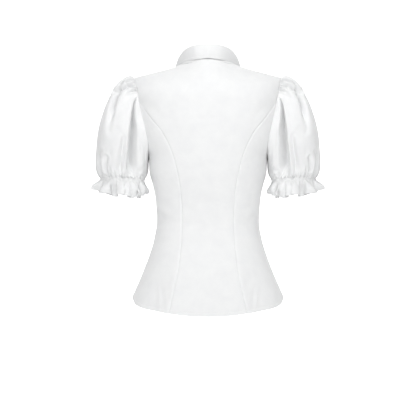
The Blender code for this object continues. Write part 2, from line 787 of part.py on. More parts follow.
def sleeve_grid(turn):
    """Left sleeve: threads from the armhole to the cuff, then pushed in and out by folds and gathers."""
    side = np.where(np.sin(turn) >= 0, 1.0, -1.0)
    away = from_outer(turn)
    armhole_turn = np.radians(smooth(SLEEVE, "armhole", away)) * side
    edge, facing = armhole_loop(armhole_turn)
    step = SEAM_GAP + np.abs(facing @ SLEEVE_AXIS) * HALF
    start = edge + SLEEVE_AXIS * step[:, None]
    end = cuff_point(turn, 0.0, 0.0)
    handles = {name: by_turn(SLEEVE, name, turn) for name in ("head_x", "head_z", "cuff_x", "cuff_z")}
    handles |= {name: smooth(SLEEVE, name, away) * side for name in ("head_y", "cuff_y")}
    first = start + stack(handles["head_x"], handles["head_y"], handles["head_z"])
    second = end + stack(handles["cuff_x"], handles["cuff_y"], handles["cuff_z"])
    t = np.linspace(0, 1, DENSE)[None, :, None]
    dense = (
        start[:, None] * (1 - t) ** 3
        + first[:, None] * 3 * t * (1 - t) ** 2
        + second[:, None] * 3 * t**2 * (1 - t)
        + end[:, None] * t**3
    )
    grid = np.stack([thread(points) for points in dense])
    share = np.broadcast_to(np.array(SLEEVE_ROWS)[None, :], grid.shape[:2])
    back, front = (fold_shift(away[:, None], share, folds) for folds in (BACK_FOLDS, FRONT_FOLDS))
    under = ease((UNDERARM_TURN - away) / UNDERARM_FADE)[:, None]
    shift = (np.where(side[:, None] > 0, back, front) + gather_shift(turn[:, None], share)) * under
    grid = grid + grid_normals(grid, True) * shift[..., None]
    normals = grid_normals(grid, True)
    in_plane = normals[:, 0] - (normals[:, 0] @ SLEEVE_AXIS)[:, None] * SLEEVE_AXIS
    normals[:, 0] = unit(in_plane)
    return grid, normals


def build_sleeves(material):
    turn = np.linspace(0, 2 * math.pi, SLEEVE_THREADS + 1)[:-1]
    points, normals = sleeve_grid(turn)
    cloth_wall("sleeve_left", points, normals, True, material)
    cloth_wall("sleeve_right", mirrored(points), mirrored(normals), True, material)


def build_cuffs(material):
    """Elastic casing, then the ruffle that flares below it."""
    turn = np.linspace(0, 2 * math.pi, 41)[:-1]
    band = np.stack([cuff_point(turn, SEAM_GAP + drop, 0.0) for drop in (CLOTH, CLOTH + BAND_HEIGHT)], axis=1)
    facing = grid_normals(band, True)
    cloth_wall("cuff_band_left", band, facing, True, material)
    cloth_wall("cuff_band_right", mirrored(band), mirrored(facing), True, material)
    turn = np.linspace(0, 2 * math.pi, RUFFLE_THREADS + 1)[:-1]
    flare_out = by_turn(RUFFLE, "flare", turn)
    fall = by_turn(RUFFLE, "fall", turn)
    wave = np.cos(RUFFLE_WAVES * turn + 0.5 * np.sin(2 * turn)) * (0.8 + 0.2 * np.sin(5 * turn + 1.0))
    top = 2 * SEAM_GAP + CLOTH + BAND_HEIGHT
    rows = []
    for share in RUFFLE_ROWS:
        out = flare_out * (1 - (1 - share) ** 2) + RUFFLE_DEPTH * wave * ease(share * 1.1) * 0.9
        rows.append(cuff_point(turn, top + fall * share, out))
    ruffle = np.stack(rows, axis=1)
    facing = grid_normals(ruffle, True)
    facing[:, 0] = unit(facing[:, 0] * np.array((1.0, 1.0, 0.0)))
    cloth_wall("cuff_ruffle_left", ruffle, facing, True, material)
    cloth_wall("cuff_ruffle_right", mirrored(ruffle), mirrored(facing), True, material)


def add_button(name, centre, facing, material):
    """Round button with a raised rim, turned about the way that it faces."""
    profile = (
        (0.0, 0.0),
        (BUTTON_RADIUS * 0.8, 0.0),
        (BUTTON_RADIUS, BUTTON_THICKNESS * 0.35),
        (BUTTON_RADIUS * 0.98, BUTTON_THICKNESS * 0.75),
        (BUTTON_RADIUS * 0.86, BUTTON_THICKNESS),
        (BUTTON_RADIUS * 0.66, BUTTON_THICKNESS - BUTTON_DISH),
        (0.0, BUTTON_THICKNESS - BUTTON_DISH),
    )
    across = unit(np.cross(facing, (0.0, 0.0, 1.0)))
    along = np.cross(facing, across)
    places = [centre + facing * profile[0][1]]
    for radius, out in profile[1:-1]:
        for k in range(BUTTON_SIDES):
            angle = 2 * math.pi * k / BUTTON_SIDES
            spoke = across * math.cos(angle) + along * math.sin(angle)
            places.append(centre + facing * out + spoke * radius)
    places.append(centre + facing * profile[-1][1])
    faces = []
    rings = len(profile) - 2
    last = len(places) - 1
    for k in range(BUTTON_SIDES):
        after = (k + 1) % BUTTON_SIDES
        faces.append((0, 1 + after, 1 + k))
        for ring in range(rings - 1):
            low, high = 1 + ring * BUTTON_SIDES, 1 + (ring + 1) * BUTTON_SIDES
            faces.append((low + k, low + after, high + after, high + k))
        high = 1 + (rings - 1) * BUTTON_SIDES
        faces.append((high + k, high + after, last))
    add_mesh(name, np.array(places), faces, material)


def build_buttons(material):
    """One button on the collar stand, then one at each height on the placket."""
    points, normals, turn = stand_grid()
    middle = int(np.argmin(np.abs(turn - 3 * math.pi / 2)))
    centre = (points[middle, 0] + points[middle, 1]) / 2
    facing = unit(normals[middle, 0] + normals[middle, 1])
    add_button("button_1", centre + facing * (HALF + BUTTON_LIFT), facing, material)
    points, normals = (grid[1] for grid in front_grid())
    lift = HALF + SEAM_GAP + CLOTH + BUTTON_LIFT
    for number, height in enumerate(BUTTON_HEIGHTS, start=2):
        point = np.array([np.interp(height, points[:, 2], points[:, k]) for k in range(3)])
        normal = unit(np.array([np.interp(height, points[:, 2], normals[:, k]) for k in range(3)]))
        add_button(f"button_{number}", point + normal * lift, normal, material)


def main():
    for existing in list(bpy.data.objects):
        bpy.data.objects.remove(existing, do_unlink=True)
    cotton = cloth_material("cotton", (0.86, 0.87, 0.87), 0.8, 0.2)
    resin = cloth_material("button_resin", (0.85, 0.85, 0.84), 0.3, 0.0)
    build_back(cotton)
    build_side_panels(cotton)
    build_fronts(cotton)
    build_placket(cotton)
    build_stand(cotton)
    build_fall(cotton)
    build_sleeves(cotton)
    build_cuffs(cotton)
    build_buttons(resin)


main()
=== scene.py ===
"""Looks of the ruffle blouse: fine cloth shells on the solids' forms, sewing, buttons and a studio."""

import math

import bpy
import numpy as np
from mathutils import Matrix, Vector


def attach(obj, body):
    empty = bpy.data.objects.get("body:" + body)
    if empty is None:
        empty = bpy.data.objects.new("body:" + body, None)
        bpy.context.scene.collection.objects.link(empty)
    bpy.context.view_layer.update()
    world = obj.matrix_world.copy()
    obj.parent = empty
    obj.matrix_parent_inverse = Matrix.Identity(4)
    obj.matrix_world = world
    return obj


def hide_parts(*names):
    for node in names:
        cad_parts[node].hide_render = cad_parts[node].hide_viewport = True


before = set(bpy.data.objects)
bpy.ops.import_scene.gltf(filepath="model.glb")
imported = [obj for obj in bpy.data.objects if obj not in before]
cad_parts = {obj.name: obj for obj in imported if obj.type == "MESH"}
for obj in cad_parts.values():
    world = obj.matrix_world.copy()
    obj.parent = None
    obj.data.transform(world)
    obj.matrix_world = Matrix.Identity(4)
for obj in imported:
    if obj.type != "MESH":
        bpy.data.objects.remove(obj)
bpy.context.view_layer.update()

MM = 0.001


def table(columns, *rows):
    """A table whose columns are read by name; the first one says where each row applies."""
    return dict(zip(columns.split(), np.array(sorted(rows), dtype=float).T))


def folds(**rows):
    """Folds of a sleeve by name: share of the way down, turn, half-width in degrees, how far out it goes."""
    return {name: table("share turn half_width out", *fold) for name, fold in rows.items()}


# Cloth: the solids' walls are thicker than the real cloth, so the shells are thinner about the same middle
SHELL = 0.7
STIFF_SHELL = 1.0
SOLID_WALL = 1.2
SEAM_GAP = 0.3

# Torso: level sections, each a rounded oval that is deeper in front than at the back
SECTION_ROUNDNESS = 2.3
SECTIONS = table(
    "height half_width back front",
    (-625, 205, 131, 135),
    (-573, 188, 122, 128),
    (-545, 176, 116, 123),
    (-507, 160, 107, 117),
    (-470, 146, 97, 112),
    (-432, 134.5, 86, 105),
    (-385, 127.3, 77, 99),
    (-345, 129.5, 80, 106),
    (-318, 132.5, 85, 114),
    (-290, 139, 90, 122),
    (-267, 145.5, 94, 127),
    (-225, 148, 97.5, 129),
    (-200, 160, 99, 124),
    (-150, 177, 100, 109),
    (-90, 182, 98, 93),
    (-28, 190, 92, 81),
    (60, 196, 86, 72),
)

# Shoulders: above this height the sections close over towards the shoulder line
SPRING = -90.0
SHOULDER_AT_CENTRE = 19.0
SHOULDER_SLOPE = 0.25
SHOULDER_TIP = 184.0
NECK_RISE = 38.0
NECK_SPREAD = 45.0

# Neckline in plan, and the front edges
NECK_HALF_WIDTH = 68.0
NECK_BACK = 60.0
NECK_FRONT = 84.0
OVERLAP = 13.0
UNDERLAP_DROP = 1.8
UNDERLAP_FADE = 34.0

# Armhole: how far out its edge lies at each height
UNDERARM = -225.0
ARMHOLE = table(
    "height back front",
    (UNDERARM, 148, 148),
    (-214, 147.2, 146.2),
    (-200, 147, 145.5),
    (-175, 150.5, 148.5),
    (-150, 156, 153.5),
    (-120, 163.5, 160),
    (SPRING, 170, 166.5),
    (-60, 176.5, 174.5),
    (SHOULDER_AT_CENTRE - SHOULDER_SLOPE * SHOULDER_TIP, SHOULDER_TIP, SHOULDER_TIP),
)

# Princess seams, from the hem up to the armhole
PRINCESS = table(
    "height back front",
    (-625, 99, 106),
    (-570, 87.5, 97),
    (-522, 76.4, 88),
    (-472, 69.3, 80),
    (-428, 65.4, 75),
    (-370, 64, 72),
    (-316, 67, 78),
    (-238, 81.5, 91),
    (-209, 91.3, 99),
    (-169, 111, 116),
    (-129, 142.5, 140),
    (SPRING, 170, 166.5),
)

# Hem: shirt-tail curve, from the side seam (0 degrees) to the middle of the back or front (90)
HEM_AT_SIDE = -573.0
HEM_DROP = 42.0
HEM = table(
    "turn share",
    (0, 0),
    (5, 0.035),
    (11, 0.16),
    (17, 0.36),
    (27, 0.58),
    (35, 0.68),
    (50, 0.83),
    (70, 0.96),
    (90, 1),
)
HEM_TURNING = 8.0

# Soft flare folds of the skirt, one between each princess seam and the side seam
FLARE_TOP = -480.0
FLARE_TURN = 37.0
FLARE_SPREAD = 8.0
FLARE_DEPTH = 5.0

# Collar stand and collar fall
STAND_TOP = {
    "half_width": 60.0,
    "back": 50.0,
    "front": 69.0,
    "back_height": 47.5,
    "side_height": 35.0,
    "front_height": -41.0,
}
STAND_RISE = 12.0
STAND_WRAP = 0.9
STAND_WRAP_FADE = 50.0
FALL_START = 4.0
FALL_ROLL = 9.0
FALL_CLOSER = 3.4
FALL_DROP = 23.0
FALL_BULGE = 2.0
FALL_FRONT = 0.65
FALL_LEAN = 0.9
FALL_POINT_HANDLE = (20.0, -4.0, 14.0)
FALL_EDGE = table(
    "share x y z",
    (0.00, 0, 69, 15.2),
    (0.15, 31, 57.5, 13.4),
    (0.30, 57, 31, 9.4),
    (0.41, 72, 6, 5),
    (0.49, 80, -9, 1.2),
    (0.58, 84, -26, -2),
    (0.72, 82, -60, -26),
    (0.86, 73, -80, -50),
    (1.00, 62, -91, -72),
)

# Sleeve: each thread runs from the armhole to the cuff, pushed out by a handle at either end.
# Turn 0 is the outer side, 90 the back and 180 the side by the body.
SLEEVE_AXIS = np.array((0.984, 0.0, -0.18)) / math.hypot(0.984, 0.18)
SLEEVE = table(
    "turn armhole head_x head_y head_z cuff_x cuff_y cuff_z",
    (0, 0, 68, 0, 14, 34, 0, 70),
    (45, 21, 70, 36, 14, 31, 31, 60),
    (90, 46, 46, 46, 4, 10, 40, 40),
    (115, 62, 26, 36, -10, -2, 28, 30),
    (135, 88, 16, 20, -12, -9, 17, 28),
    (160, 136, 9, 9, -10, -10, 8, 14),
    (180, 180, 8, 0, -8, -19, 0, 16),
)
CUFF_CENTRE = (214.0, 0.0, -277.0)
CUFF_HALF_WIDTH = 55.0
CUFF_HALF_DEPTH = 49.0
CUFF_TILT = 3.0
GATHERS = 15
CUFF_GATHER_DEPTH = 4.2
HEAD_GATHER_DEPTH = 3.6
HEAD_GATHER_REACH = 98.0
HEAD_GATHER_FADE = 25.0
UNDERARM_TURN = 168.0
UNDERARM_FADE = 30.0

# Large folds of a sleeve, in degrees from its outer side
BACK_FOLDS = folds(
    main_trough=(
        (0.02, 100, 4, 0),
        (0.07, 107, 5, -11),
        (0.18, 116, 6.5, -20),
        (0.32, 120, 8, -26),
        (0.55, 120, 9, -29),
        (0.8, 119, 11, -29),
        (0.9, 118, 10, -18),
        (0.98, 120, 8, 0),
    ),
    ridge_by_body=((0.1, 138, 8, 0), (0.35, 146, 9, 4), (0.7, 149, 9, 5), (0.92, 148, 8, 0)),
    outer_trough=(
        (0.15, 46, 6, 0),
        (0.2, 47, 9, -22),
        (0.31, 54, 9, -20),
        (0.44, 61, 8, -8),
        (0.6, 65, 8, 0),
    ),
    low_trough=((0.48, 100, 5, 0), (0.66, 98, 6, -9), (0.85, 92, 7, -11), (0.96, 90, 6, 0)),
)
FRONT_FOLDS = folds(
    main_trough=(
        (0.05, 94, 7, 0),
        (0.15, 97, 8, -8),
        (0.45, 101, 9.5, -14),
        (0.75, 104, 10, -12),
        (0.92, 104, 8, 0),
    ),
    ridge_by_body=((0.15, 128, 9, 0), (0.5, 130, 10, 4.5), (0.9, 129, 8, 0)),
    outer_trough=((0.12, 52, 8, 0), (0.26, 54, 9, -7), (0.42, 59, 9, -4), (0.56, 63, 8, 0)),
    low_trough=((0.55, 70, 7, 0), (0.74, 69, 8, -5), (0.9, 67, 7, -4), (0.95, 67, 6, 0)),
)

# Cuff casing and ruffle
BAND_HEIGHT = 7.0
RUFFLE_WAVES = 12
RUFFLE_DEPTH = 8.0
RUFFLE = table(
    "turn flare fall",
    (0, 14, 24),
    (50, 13, 32),
    (95, 11, 36),
    (135, 9, 37),
    (180, 3, 28),
)

# Buttons down the front
BUTTON_HEIGHTS = (-110.0, -184.0, -258.0, -332.0, -406.0, -480.0)
BUTTON_RADIUS = 5.25
BUTTON_THICKNESS = 2.4

# Fineness of the shells: even steps of about 3 mm, and closer ones beside the seams and the hem
SEAM_STEPS = (0.0, 0.6, 1.4, 2.6, 4.4)
HEM_STEPS = (0.0, 0.7, 2.5, 5.0, 6.8, 7.6, 8.2, 9.0, 11.0)
DENSE = 400
NECK_COLUMNS = 26
SHOULDER_COLUMNS = 34
PANEL_WIDTH = 110.0
SIDE_WIDTH = 62.0
SIDE_COLUMNS = 24
ROWS_BELOW = 168
ROWS_ABOVE = 42
STRIP = (-OVERLAP, -12.3, -11.0, -9.0, -7.6, -6.6, -4.0, 0.0, 4.0, 6.6, 7.6, 9.0, 11.0, 12.3)
SLEEVE_THREADS = 300
SLEEVE_ROWS = ((0.06, 8), (0.9, 85), (1.0, 25))
FALL_ROWS = ((0.7, 25), (1.0, 23))
BAND_THREADS = 420
BAND_ROWS = 13
RUFFLE_THREADS = 480
RUFFLE_ROWS = ((0.85, 21), (1.0, 8))

# Sewing: how far the seams roll in and pucker, and the lines of stitches
SEAM_ROLL = 1.1
SEAM_ROLL_WIDTH = 2.2
PUCKER_LENGTH = 9.0
PUCKER_DEPTH = 0.22
PUCKER_REACH = 5.0
STITCH_GROOVE = 0.8
HEM_LINE_DEPTH = 0.22
HEM_THICKER = 0.18
PLACKET_LIFT = 1.2
PLACKET_ROLL = 0.4
PLACKET_LINE = 5.0
PLACKET_GROOVE = 0.9
COLLAR_LINE = 6.0
COLLAR_LINE_DEPTH = 0.3
STAND_LINE_DEPTH = 0.2
FALL_RUMPLE = 0.35
SLEEVE_RUMPLE = 0.5
FINE_CUFF_DEPTH = 2.1
FINE_HEAD_DEPTH = 2.4
STEEP_FOLDS = ("main_trough",)
BAND_RIB = 0.5
BAND_DRAW = 0.8
RUFFLE_SWAY = 5.0
RUFFLE_LIFT = 3.2
RUFFLE_RIPPLE = 5.0
RUFFLE_OPEN = 1.1
RUFFLE_HOLLOW = 2.0
RUFFLE_SLANT = 2.0
RUFFLE_LINE = 3.0
BUTTON_LIFT = 0.35
BUTTON_HOLE_OUT = 1.75
BUTTON_HOLE_RADIUS = 0.85
BUTTON_SIDES = 48
BUTTON_PROFILE = (
    (0, 0),
    (4, 0),
    (4.75, 0.25),
    (5.2, 0.85),
    (BUTTON_RADIUS, 1.3),
    (5.15, 1.85),
    (4.8, 2.3),
    (4.4, BUTTON_THICKNESS),
    (4, 2.3),
    (3.55, 1.85),
    (3.1, 1.62),
    (2.4, 1.58),
    (0, 1.55),
)
BUTTONHOLE_LENGTH = 13.0
RUMPLE_DEPTH = 0.5

# Small creases of a sleeve, in the same form as its large folds
BACK_CREASES = folds(
    head_fold=((0.03, 30, 5, 0), (0.08, 27, 6, -3.2), (0.14, 25, 6, -2.4), (0.22, 22, 6, 0)),
    head_dash_one=((0.005, 60, 3, 0), (0.04, 59, 3.5, -2.4), (0.09, 57, 4, 0)),
    head_dash_two=((0.005, 74, 3, 0), (0.05, 74, 3.5, -2.6), (0.12, 73, 4, 0)),
    head_dash_three=((0.005, 88, 3, 0), (0.05, 89, 3.2, -2), (0.11, 90, 4, 0)),
    trough_lip=((0.1, 101, 4, 0), (0.3, 106, 4.5, 3), (0.7, 107, 4.5, 3.6), (0.9, 106, 4, 0)),
    by_body=((0.3, 156, 8, 0), (0.5, 162, 7, -1.5), (0.8, 163, 7, -1.5), (0.95, 157, 8, 0)),
    long_faint=((0.3, 80, 7, 0), (0.45, 78, 8, -1.3), (0.62, 76, 7, 0)),
    low_one=((0.66, 72, 5, 0), (0.84, 70, 5.5, -2.6), (0.97, 69, 5, 0)),
    low_two=((0.74, 52, 5, 0), (0.88, 51, 5, -2.2), (0.97, 50, 5, 0)),
    low_three=((0.62, 34, 6, 0), (0.8, 33, 6, -2.4), (0.96, 32, 5, 0)),
    low_four=((0.7, 12, 6, 0), (0.86, 13, 6, -2), (0.97, 14, 5, 0)),
)
FRONT_CREASES = folds(
    head_fold=((0.03, 34, 5, 0), (0.09, 31, 6, -2.8), (0.16, 28, 6, -1.8), (0.24, 26, 6, 0)),
    head_dash_one=((0.005, 57, 3, 0), (0.05, 57, 3.5, -2.2), (0.11, 56, 4, 0)),
    head_dash_two=((0.005, 80, 3, 0), (0.05, 80, 3.5, -2.4), (0.1, 81, 4, 0)),
    by_body=((0.35, 152, 8, 0), (0.55, 152, 9, -3.5), (0.8, 153, 9, -4), (0.95, 153, 8, 0)),
    long_faint=((0.34, 78, 7, 0), (0.5, 79, 8, -1.5), (0.66, 82, 7, 0)),
    low_one=((0.7, 88, 5, 0), (0.86, 87, 5, -2.4), (0.97, 86, 5, 0)),
    low_two=((0.72, 48, 5, 0), (0.87, 47, 5, -2.4), (0.97, 46, 5, 0)),
    low_three=((0.66, 24, 6, 0), (0.83, 24, 6, -2.2), (0.96, 23, 5, 0)),
)

# Creases that cross a sleeve's threads: degrees from its outer side, shares down and sizes in millimetres
SLEEVE_DEGREE = 1.1
SLEEVE_LENGTH = 270.0
CROSSING_COLUMNS = "turn0 share0 turn1 share1 half_width depth"
BACK_CROSSING = table(
    CROSSING_COLUMNS,
    (30, 0.225, 56, 0.13, 5, 7),
    (16, 0.15, 36, 0.08, 6, 7.5),
    (40, 0.2, 47, 0.225, 5, 3),
    (62, 0.8, 53, 0.93, 4, 3.2),
    (36, 0.86, 46, 0.76, 4.5, 1.8),
    (84, 0.5, 70, 0.56, 8, 1.2),
    (140, 0.86, 152, 0.74, 5, 2.2),
)
FRONT_CROSSING = table(
    CROSSING_COLUMNS,
    (24, 0.24, 50, 0.14, 5, 3.2),
    (8, 0.19, 30, 0.09, 6, 3.4),
    (66, 0.82, 58, 0.93, 4, 2.8),
    (88, 0.42, 74, 0.5, 8, 1.4),
    (112, 0.88, 124, 0.76, 5, 2.4),
)

# Soft creases of the torso, drawn from one place to another and the same on both halves
CREASES = table(
    "side x0 z0 x1 z1 bow half_width depth",
    (1, 128, -366, 82, -384, -4, 8, 1.6),
    (1, 126, -392, 92, -398, 3, 6, 1.1),
    (1, 120, -340, 78, -366, 3, 9, 0.9),
    (1, 60, -352, 22, -372, 3, 8, 0.6),
    (1, 56, -396, 16, -384, -3, 8, 0.6),
    (1, 50, -60, 4, -57, 3, 9, 0.7),
    (1, 30, -139, 2, -136, 2, 7, 0.6),
    (1, 150, -96, 112, -142, 5, 8, 0.8),
    (1, 44, -523, 6, -505, -4, 8, 0.5),
    (1, 127, -535, 119, -604, 2, 3.5, -1.6),
    (1, 118, -540, 111, -606, 2, 5, 1.2),
    (1, 96, -470, 104, -600, 0, 9, 0.8),
    (1, 20, -300, 62, -330, 3, 9, 0.5),
    (1, 100, -120, 70, -190, 6, 10, 0.6),
    (-1, 128, -370, 86, -390, -4, 8, 1.4),
    (-1, 124, -398, 96, -404, 3, 6, 0.9),
    (-1, 122, -246, 92, -258, 4, 9, 0.9),
    (-1, 62, -362, 26, -380, 3, 8, 0.7),
    (-1, 148, -150, 104, -196, 6, 9, 0.9),
    (-1, 40, -110, 24, -180, 3, 9, 0.5),
    (-1, 92, -470, 70, -560, 5, 10, 0.7),
)

# Cloth: yarns in each direction, in bands for each metre, and its two faint tones
YARNS_ACROSS = 560.0
YARNS_ALONG = 480.0
COTTON_SHADE = (0.712, 0.717, 0.722)
COTTON_LIGHT = (0.745, 0.75, 0.75)

# Studio
CAMERA_DISTANCE = 3.5
CAMERA_HEIGHT = -0.3525
FRAME_WIDTH = 1.04
FLOOR = -1.0
PAPER_WIDTH = 9.0
PAPER_NEAR = 7.0
PAPER_FAR = -4.0
PAPER_HEIGHT = 6.0
FLOOR_GLOW = 0.35
WALL_GLOW = 1.0
WORLD_LIGHT = 0.2
LIT_MIDDLE = (0.0, 0.0, -0.3)
KEY_LIGHT = 94.0
KEY_PLACE = (0.0, 2.9, 1.5)
KEY_SIZE = (4.4, 0.8)
TOP_LIGHT = 26.0
TOP_PLACE = (0.0, 0.6, 2.4)
TOP_SIZE = (1.2, 1.0)
SENSOR = 36.0
FAR_CLIP = 50.0


def smooth(rows, column, at):
    """One column of a table at the given places in its first column, by a smooth curve with no overshoot."""
    x, y = rows[next(iter(rows))], rows[column]
    step = np.diff(x)
    rate = np.diff(y) / step
    slope = np.zeros(len(x))
    slope[0] = rate[0]
    slope[-1] = rate[-1]
    turning = rate[:-1] * rate[1:] <= 0
    first = 2 * step[1:] + step[:-1]
    second = step[1:] + 2 * step[:-1]
    safe = np.where(turning, 1.0, rate[:-1]), np.where(turning, 1.0, rate[1:])
    slope[1:-1] = np.where(turning, 0.0, (first + second) / (first / safe[0] + second / safe[1]))
    at = np.clip(np.asarray(at, dtype=float), x[0], x[-1])
    i = np.clip(np.searchsorted(x, at, side="right") - 1, 0, len(x) - 2)
    t = (at - x[i]) / step[i]
    rise = y[i] * (1 + 2 * t) * (1 - t) ** 2 + y[i + 1] * t**2 * (3 - 2 * t)
    return rise + step[i] * (slope[i] * t * (1 - t) ** 2 - slope[i + 1] * t**2 * (1 - t))


def by_turn(rows, column, turn):
    """A table given for half a turn, read all the way round and level at both of its ends."""
    return smooth({**rows, "turn": -np.cos(np.radians(rows["turn"]))}, column, -np.cos(turn))


def from_outer(turn):
    """Degrees between a turn and the outer side, the same to the back and to the front."""
    return np.degrees(np.arccos(np.cos(turn)))


def ease(t):
    t = np.clip(t, 0.0, 1.0)
    return t * t * (3 - 2 * t)


def unit(v):
    return v / np.maximum(np.linalg.norm(v, axis=-1, keepdims=True), 1e-9)


def bell(t):
    return np.exp(-(t**2))


def stack(x, y, z):
    return np.stack(np.broadcast_arrays(x, y, z), axis=-1).astype(float)


def run_of(line):
    """Distance of each point of a line from its start."""
    return np.concatenate(([0.0], np.cumsum(np.linalg.norm(np.diff(line, axis=0), axis=1))))


def read_at(places, run, line):
    """Points of a line, or its normals, at the given places along its run."""
    return np.stack([np.interp(places, run, line[:, k]) for k in range(3)], axis=-1)


def stretches(*parts):
    """Shares from 0 to 1 in stretches, each given by its end and how many steps it has."""
    rows, start = [np.zeros(1)], 0.0
    for end, steps in parts:
        rows.append(np.linspace(start, end, steps + 1)[1:])
        start = end
    return np.concatenate(rows)


def curve(start, first, second, end, t):
    """Cubic curves from start to end, pulled towards two handles."""
    return (
        start[:, None] * (1 - t) ** 3
        + first[:, None] * 3 * t * (1 - t) ** 2
        + second[:, None] * 3 * t**2 * (1 - t)
        + end[:, None] * t**3
    )


def half_width(z):
    return smooth(SECTIONS, "half_width", z)


def depth(z, side):
    """Depth of a section in the middle of the back (side 1) or of the front (side -1)."""
    back = smooth(SECTIONS, "back", z)
    front = smooth(SECTIONS, "front", z)
    return np.where(side > 0, back, front)


def depth_at(x, z, side):
    share = np.clip(1 - (np.abs(x) / half_width(z)) ** SECTION_ROUNDNESS, 0, 1)
    return depth(z, side) * share ** (1 / SECTION_ROUNDNESS)


def shoulder(x, side):
    """Height of the shoulder line, which rises beside the neck at the back."""
    from_centre = np.abs(x)
    neck = np.where(side > 0, from_centre, np.maximum(from_centre, NECK_HALF_WIDTH))
    rise = NECK_RISE * np.exp(-((neck / NECK_SPREAD) ** 2))
    return SHOULDER_AT_CENTRE - SHOULDER_SLOPE * from_centre + rise


def flare(turn, z):
    """How far the soft folds of the skirt move the cloth in, by the turn from the side seam."""
    from_side = np.degrees(np.arcsin(np.clip(np.abs(np.sin(turn)), 0, 1)))
    fold = np.exp(-(((from_side - FLARE_TURN) / FLARE_SPREAD) ** 2))
    return -FLARE_DEPTH * fold * ease((FLARE_TOP - z) / (FLARE_TOP - HEM_AT_SIDE))


def round_point(turn, z):
    """Point of the torso below the shoulders: turn 0 is the left side seam, a quarter turn the back."""
    side = np.where(np.sin(turn) >= 0, 1, -1)
    across = (np.abs(np.cos(turn)) / half_width(z)) ** SECTION_ROUNDNESS
    along = (np.abs(np.sin(turn)) / depth(z, side)) ** SECTION_ROUNDNESS
    radius = (across + along) ** (-1 / SECTION_ROUNDNESS) + flare(turn, z)
    return stack(radius * np.cos(turn), radius * np.sin(turn), z)


def over_point(x, lean, side):
    """Point of the torso where it closes over the shoulder: lean runs from 0 to a quarter turn on top."""
    z = SPRING + (shoulder(x, side) - SPRING) * np.sin(lean)
    return stack(x, side * depth_at(x, z, side) * np.cos(lean), z)


def normal_of(surface, a, b, step_a, step_b, *fixed):
    """Outward normal of a surface, from small steps to either side."""
    one = surface(a + step_a, b, *fixed) - surface(a - step_a, b, *fixed)
    two = surface(a, b + step_b, *fixed) - surface(a, b - step_b, *fixed)
    normal = unit(np.cross(one, two))
    here = surface(a, b, *fixed)
    middle = stack(here[..., 0] * 0.5, 0.0, np.minimum(here[..., 2], 2 * SPRING))
    outward = np.sum(normal * (here - middle), axis=-1, keepdims=True)
    return np.where(outward < 0, -normal, normal)


def skin(x, z, side):
    """Point and normal of the torso at a place seen from behind (side 1) or from in front (side -1)."""
    x, z = np.broadcast_arrays(np.asarray(x, dtype=float), np.asarray(z, dtype=float))
    turn = np.arctan2(side * depth_at(x, z, side), x)
    low = round_point(turn, z)
    low_normal = normal_of(round_point, turn, z, 1e-4, 0.02)
    share = np.clip((z - SPRING) / (shoulder(x, side) - SPRING), 0, 1)
    lean = np.arcsin(share)
    high = over_point(x, lean, side)
    high_normal = normal_of(over_point, x, lean, 0.02, 1e-4, side)
    is_low = (z <= SPRING)[..., None]
    return np.where(is_low, low, high), np.where(is_low, low_normal, high_normal)


def armhole_out(z, side):
    return smooth(ARMHOLE, "back" if side > 0 else "front", z)


def princess_out(z, side):
    return smooth(PRINCESS, "back" if side > 0 else "front", z)


def neck_height(x, side):
    """Height at which the torso meets the neckline's oval."""
    reach = NECK_BACK if side > 0 else NECK_FRONT
    y = reach * np.sqrt(np.clip(1 - (x / NECK_HALF_WIDTH) ** 2, 0, 1))
    z = np.zeros_like(y)
    for _ in range(40):
        lean = np.arccos(np.clip(y / depth_at(x, z, side), 0, 1))
        z = (z + SPRING + (shoulder(x, side) - SPRING) * np.sin(lean)) / 2
    return z


def hem_height(turn):
    from_side = np.degrees(np.arcsin(np.clip(np.abs(np.sin(turn)), 0, 1)))
    return HEM_AT_SIDE - HEM_DROP * smooth(HEM, "share", from_side)


def spaced(points, normals, near_start, count, near_end):
    """The same line with points at the given distances from its ends and even steps in between."""
    run = run_of(points)
    first, last = np.array(near_start), run[-1] - np.array(near_end)[::-1]
    wanted = np.concatenate((first, np.linspace(first[-1], last[0], count + 2)[1:-1], last))
    return read_at(wanted, run, points), unit(read_at(wanted, run, normals))


def middle_column(x_of, side):
    """One line of a back or front panel, from the hem to the shoulder or the neckline."""
    bottom_x = x_of(HEM_AT_SIDE - HEM_DROP / 2)
    bottom = float(hem_height(np.arctan2(depth_at(bottom_x, HEM_AT_SIDE, side), bottom_x)))
    top = float(shoulder(x_of(0.0), side))
    if abs(x_of(0.0)) < NECK_HALF_WIDTH:
        for _ in range(20):
            top = float(neck_height(x_of(top), side) + top) / 2
    share = np.linspace(0, 1, DENSE)
    low = bottom + (SPRING - bottom) * share
    high = SPRING + (top - SPRING) * (1 - (1 - share) ** 2)
    below = spaced(*skin(x_of(low), low, side), HEM_STEPS, ROWS_BELOW, (0.0,))
    above = spaced(*skin(x_of(high), high, side), (0.0,), ROWS_ABOVE, SEAM_STEPS)
    return tuple(np.concatenate((one, two[1:])) for one, two in zip(below, above))


def panel_shares(start):
    """Columns from start to the outer edge: closer beside the neck's corner and beside the seam."""
    turns = np.linspace(math.asin(start / NECK_HALF_WIDTH), math.pi / 2, NECK_COLUMNS)
    across = NECK_HALF_WIDTH * np.sin(turns)
    neck = (across - start) / (SHOULDER_TIP - start)
    seam = 1 - np.array(SEAM_STEPS)[::-1] / PANEL_WIDTH
    return np.concatenate((neck, np.linspace(neck[-1], seam[0], SHOULDER_COLUMNS)[1:-1], seam))


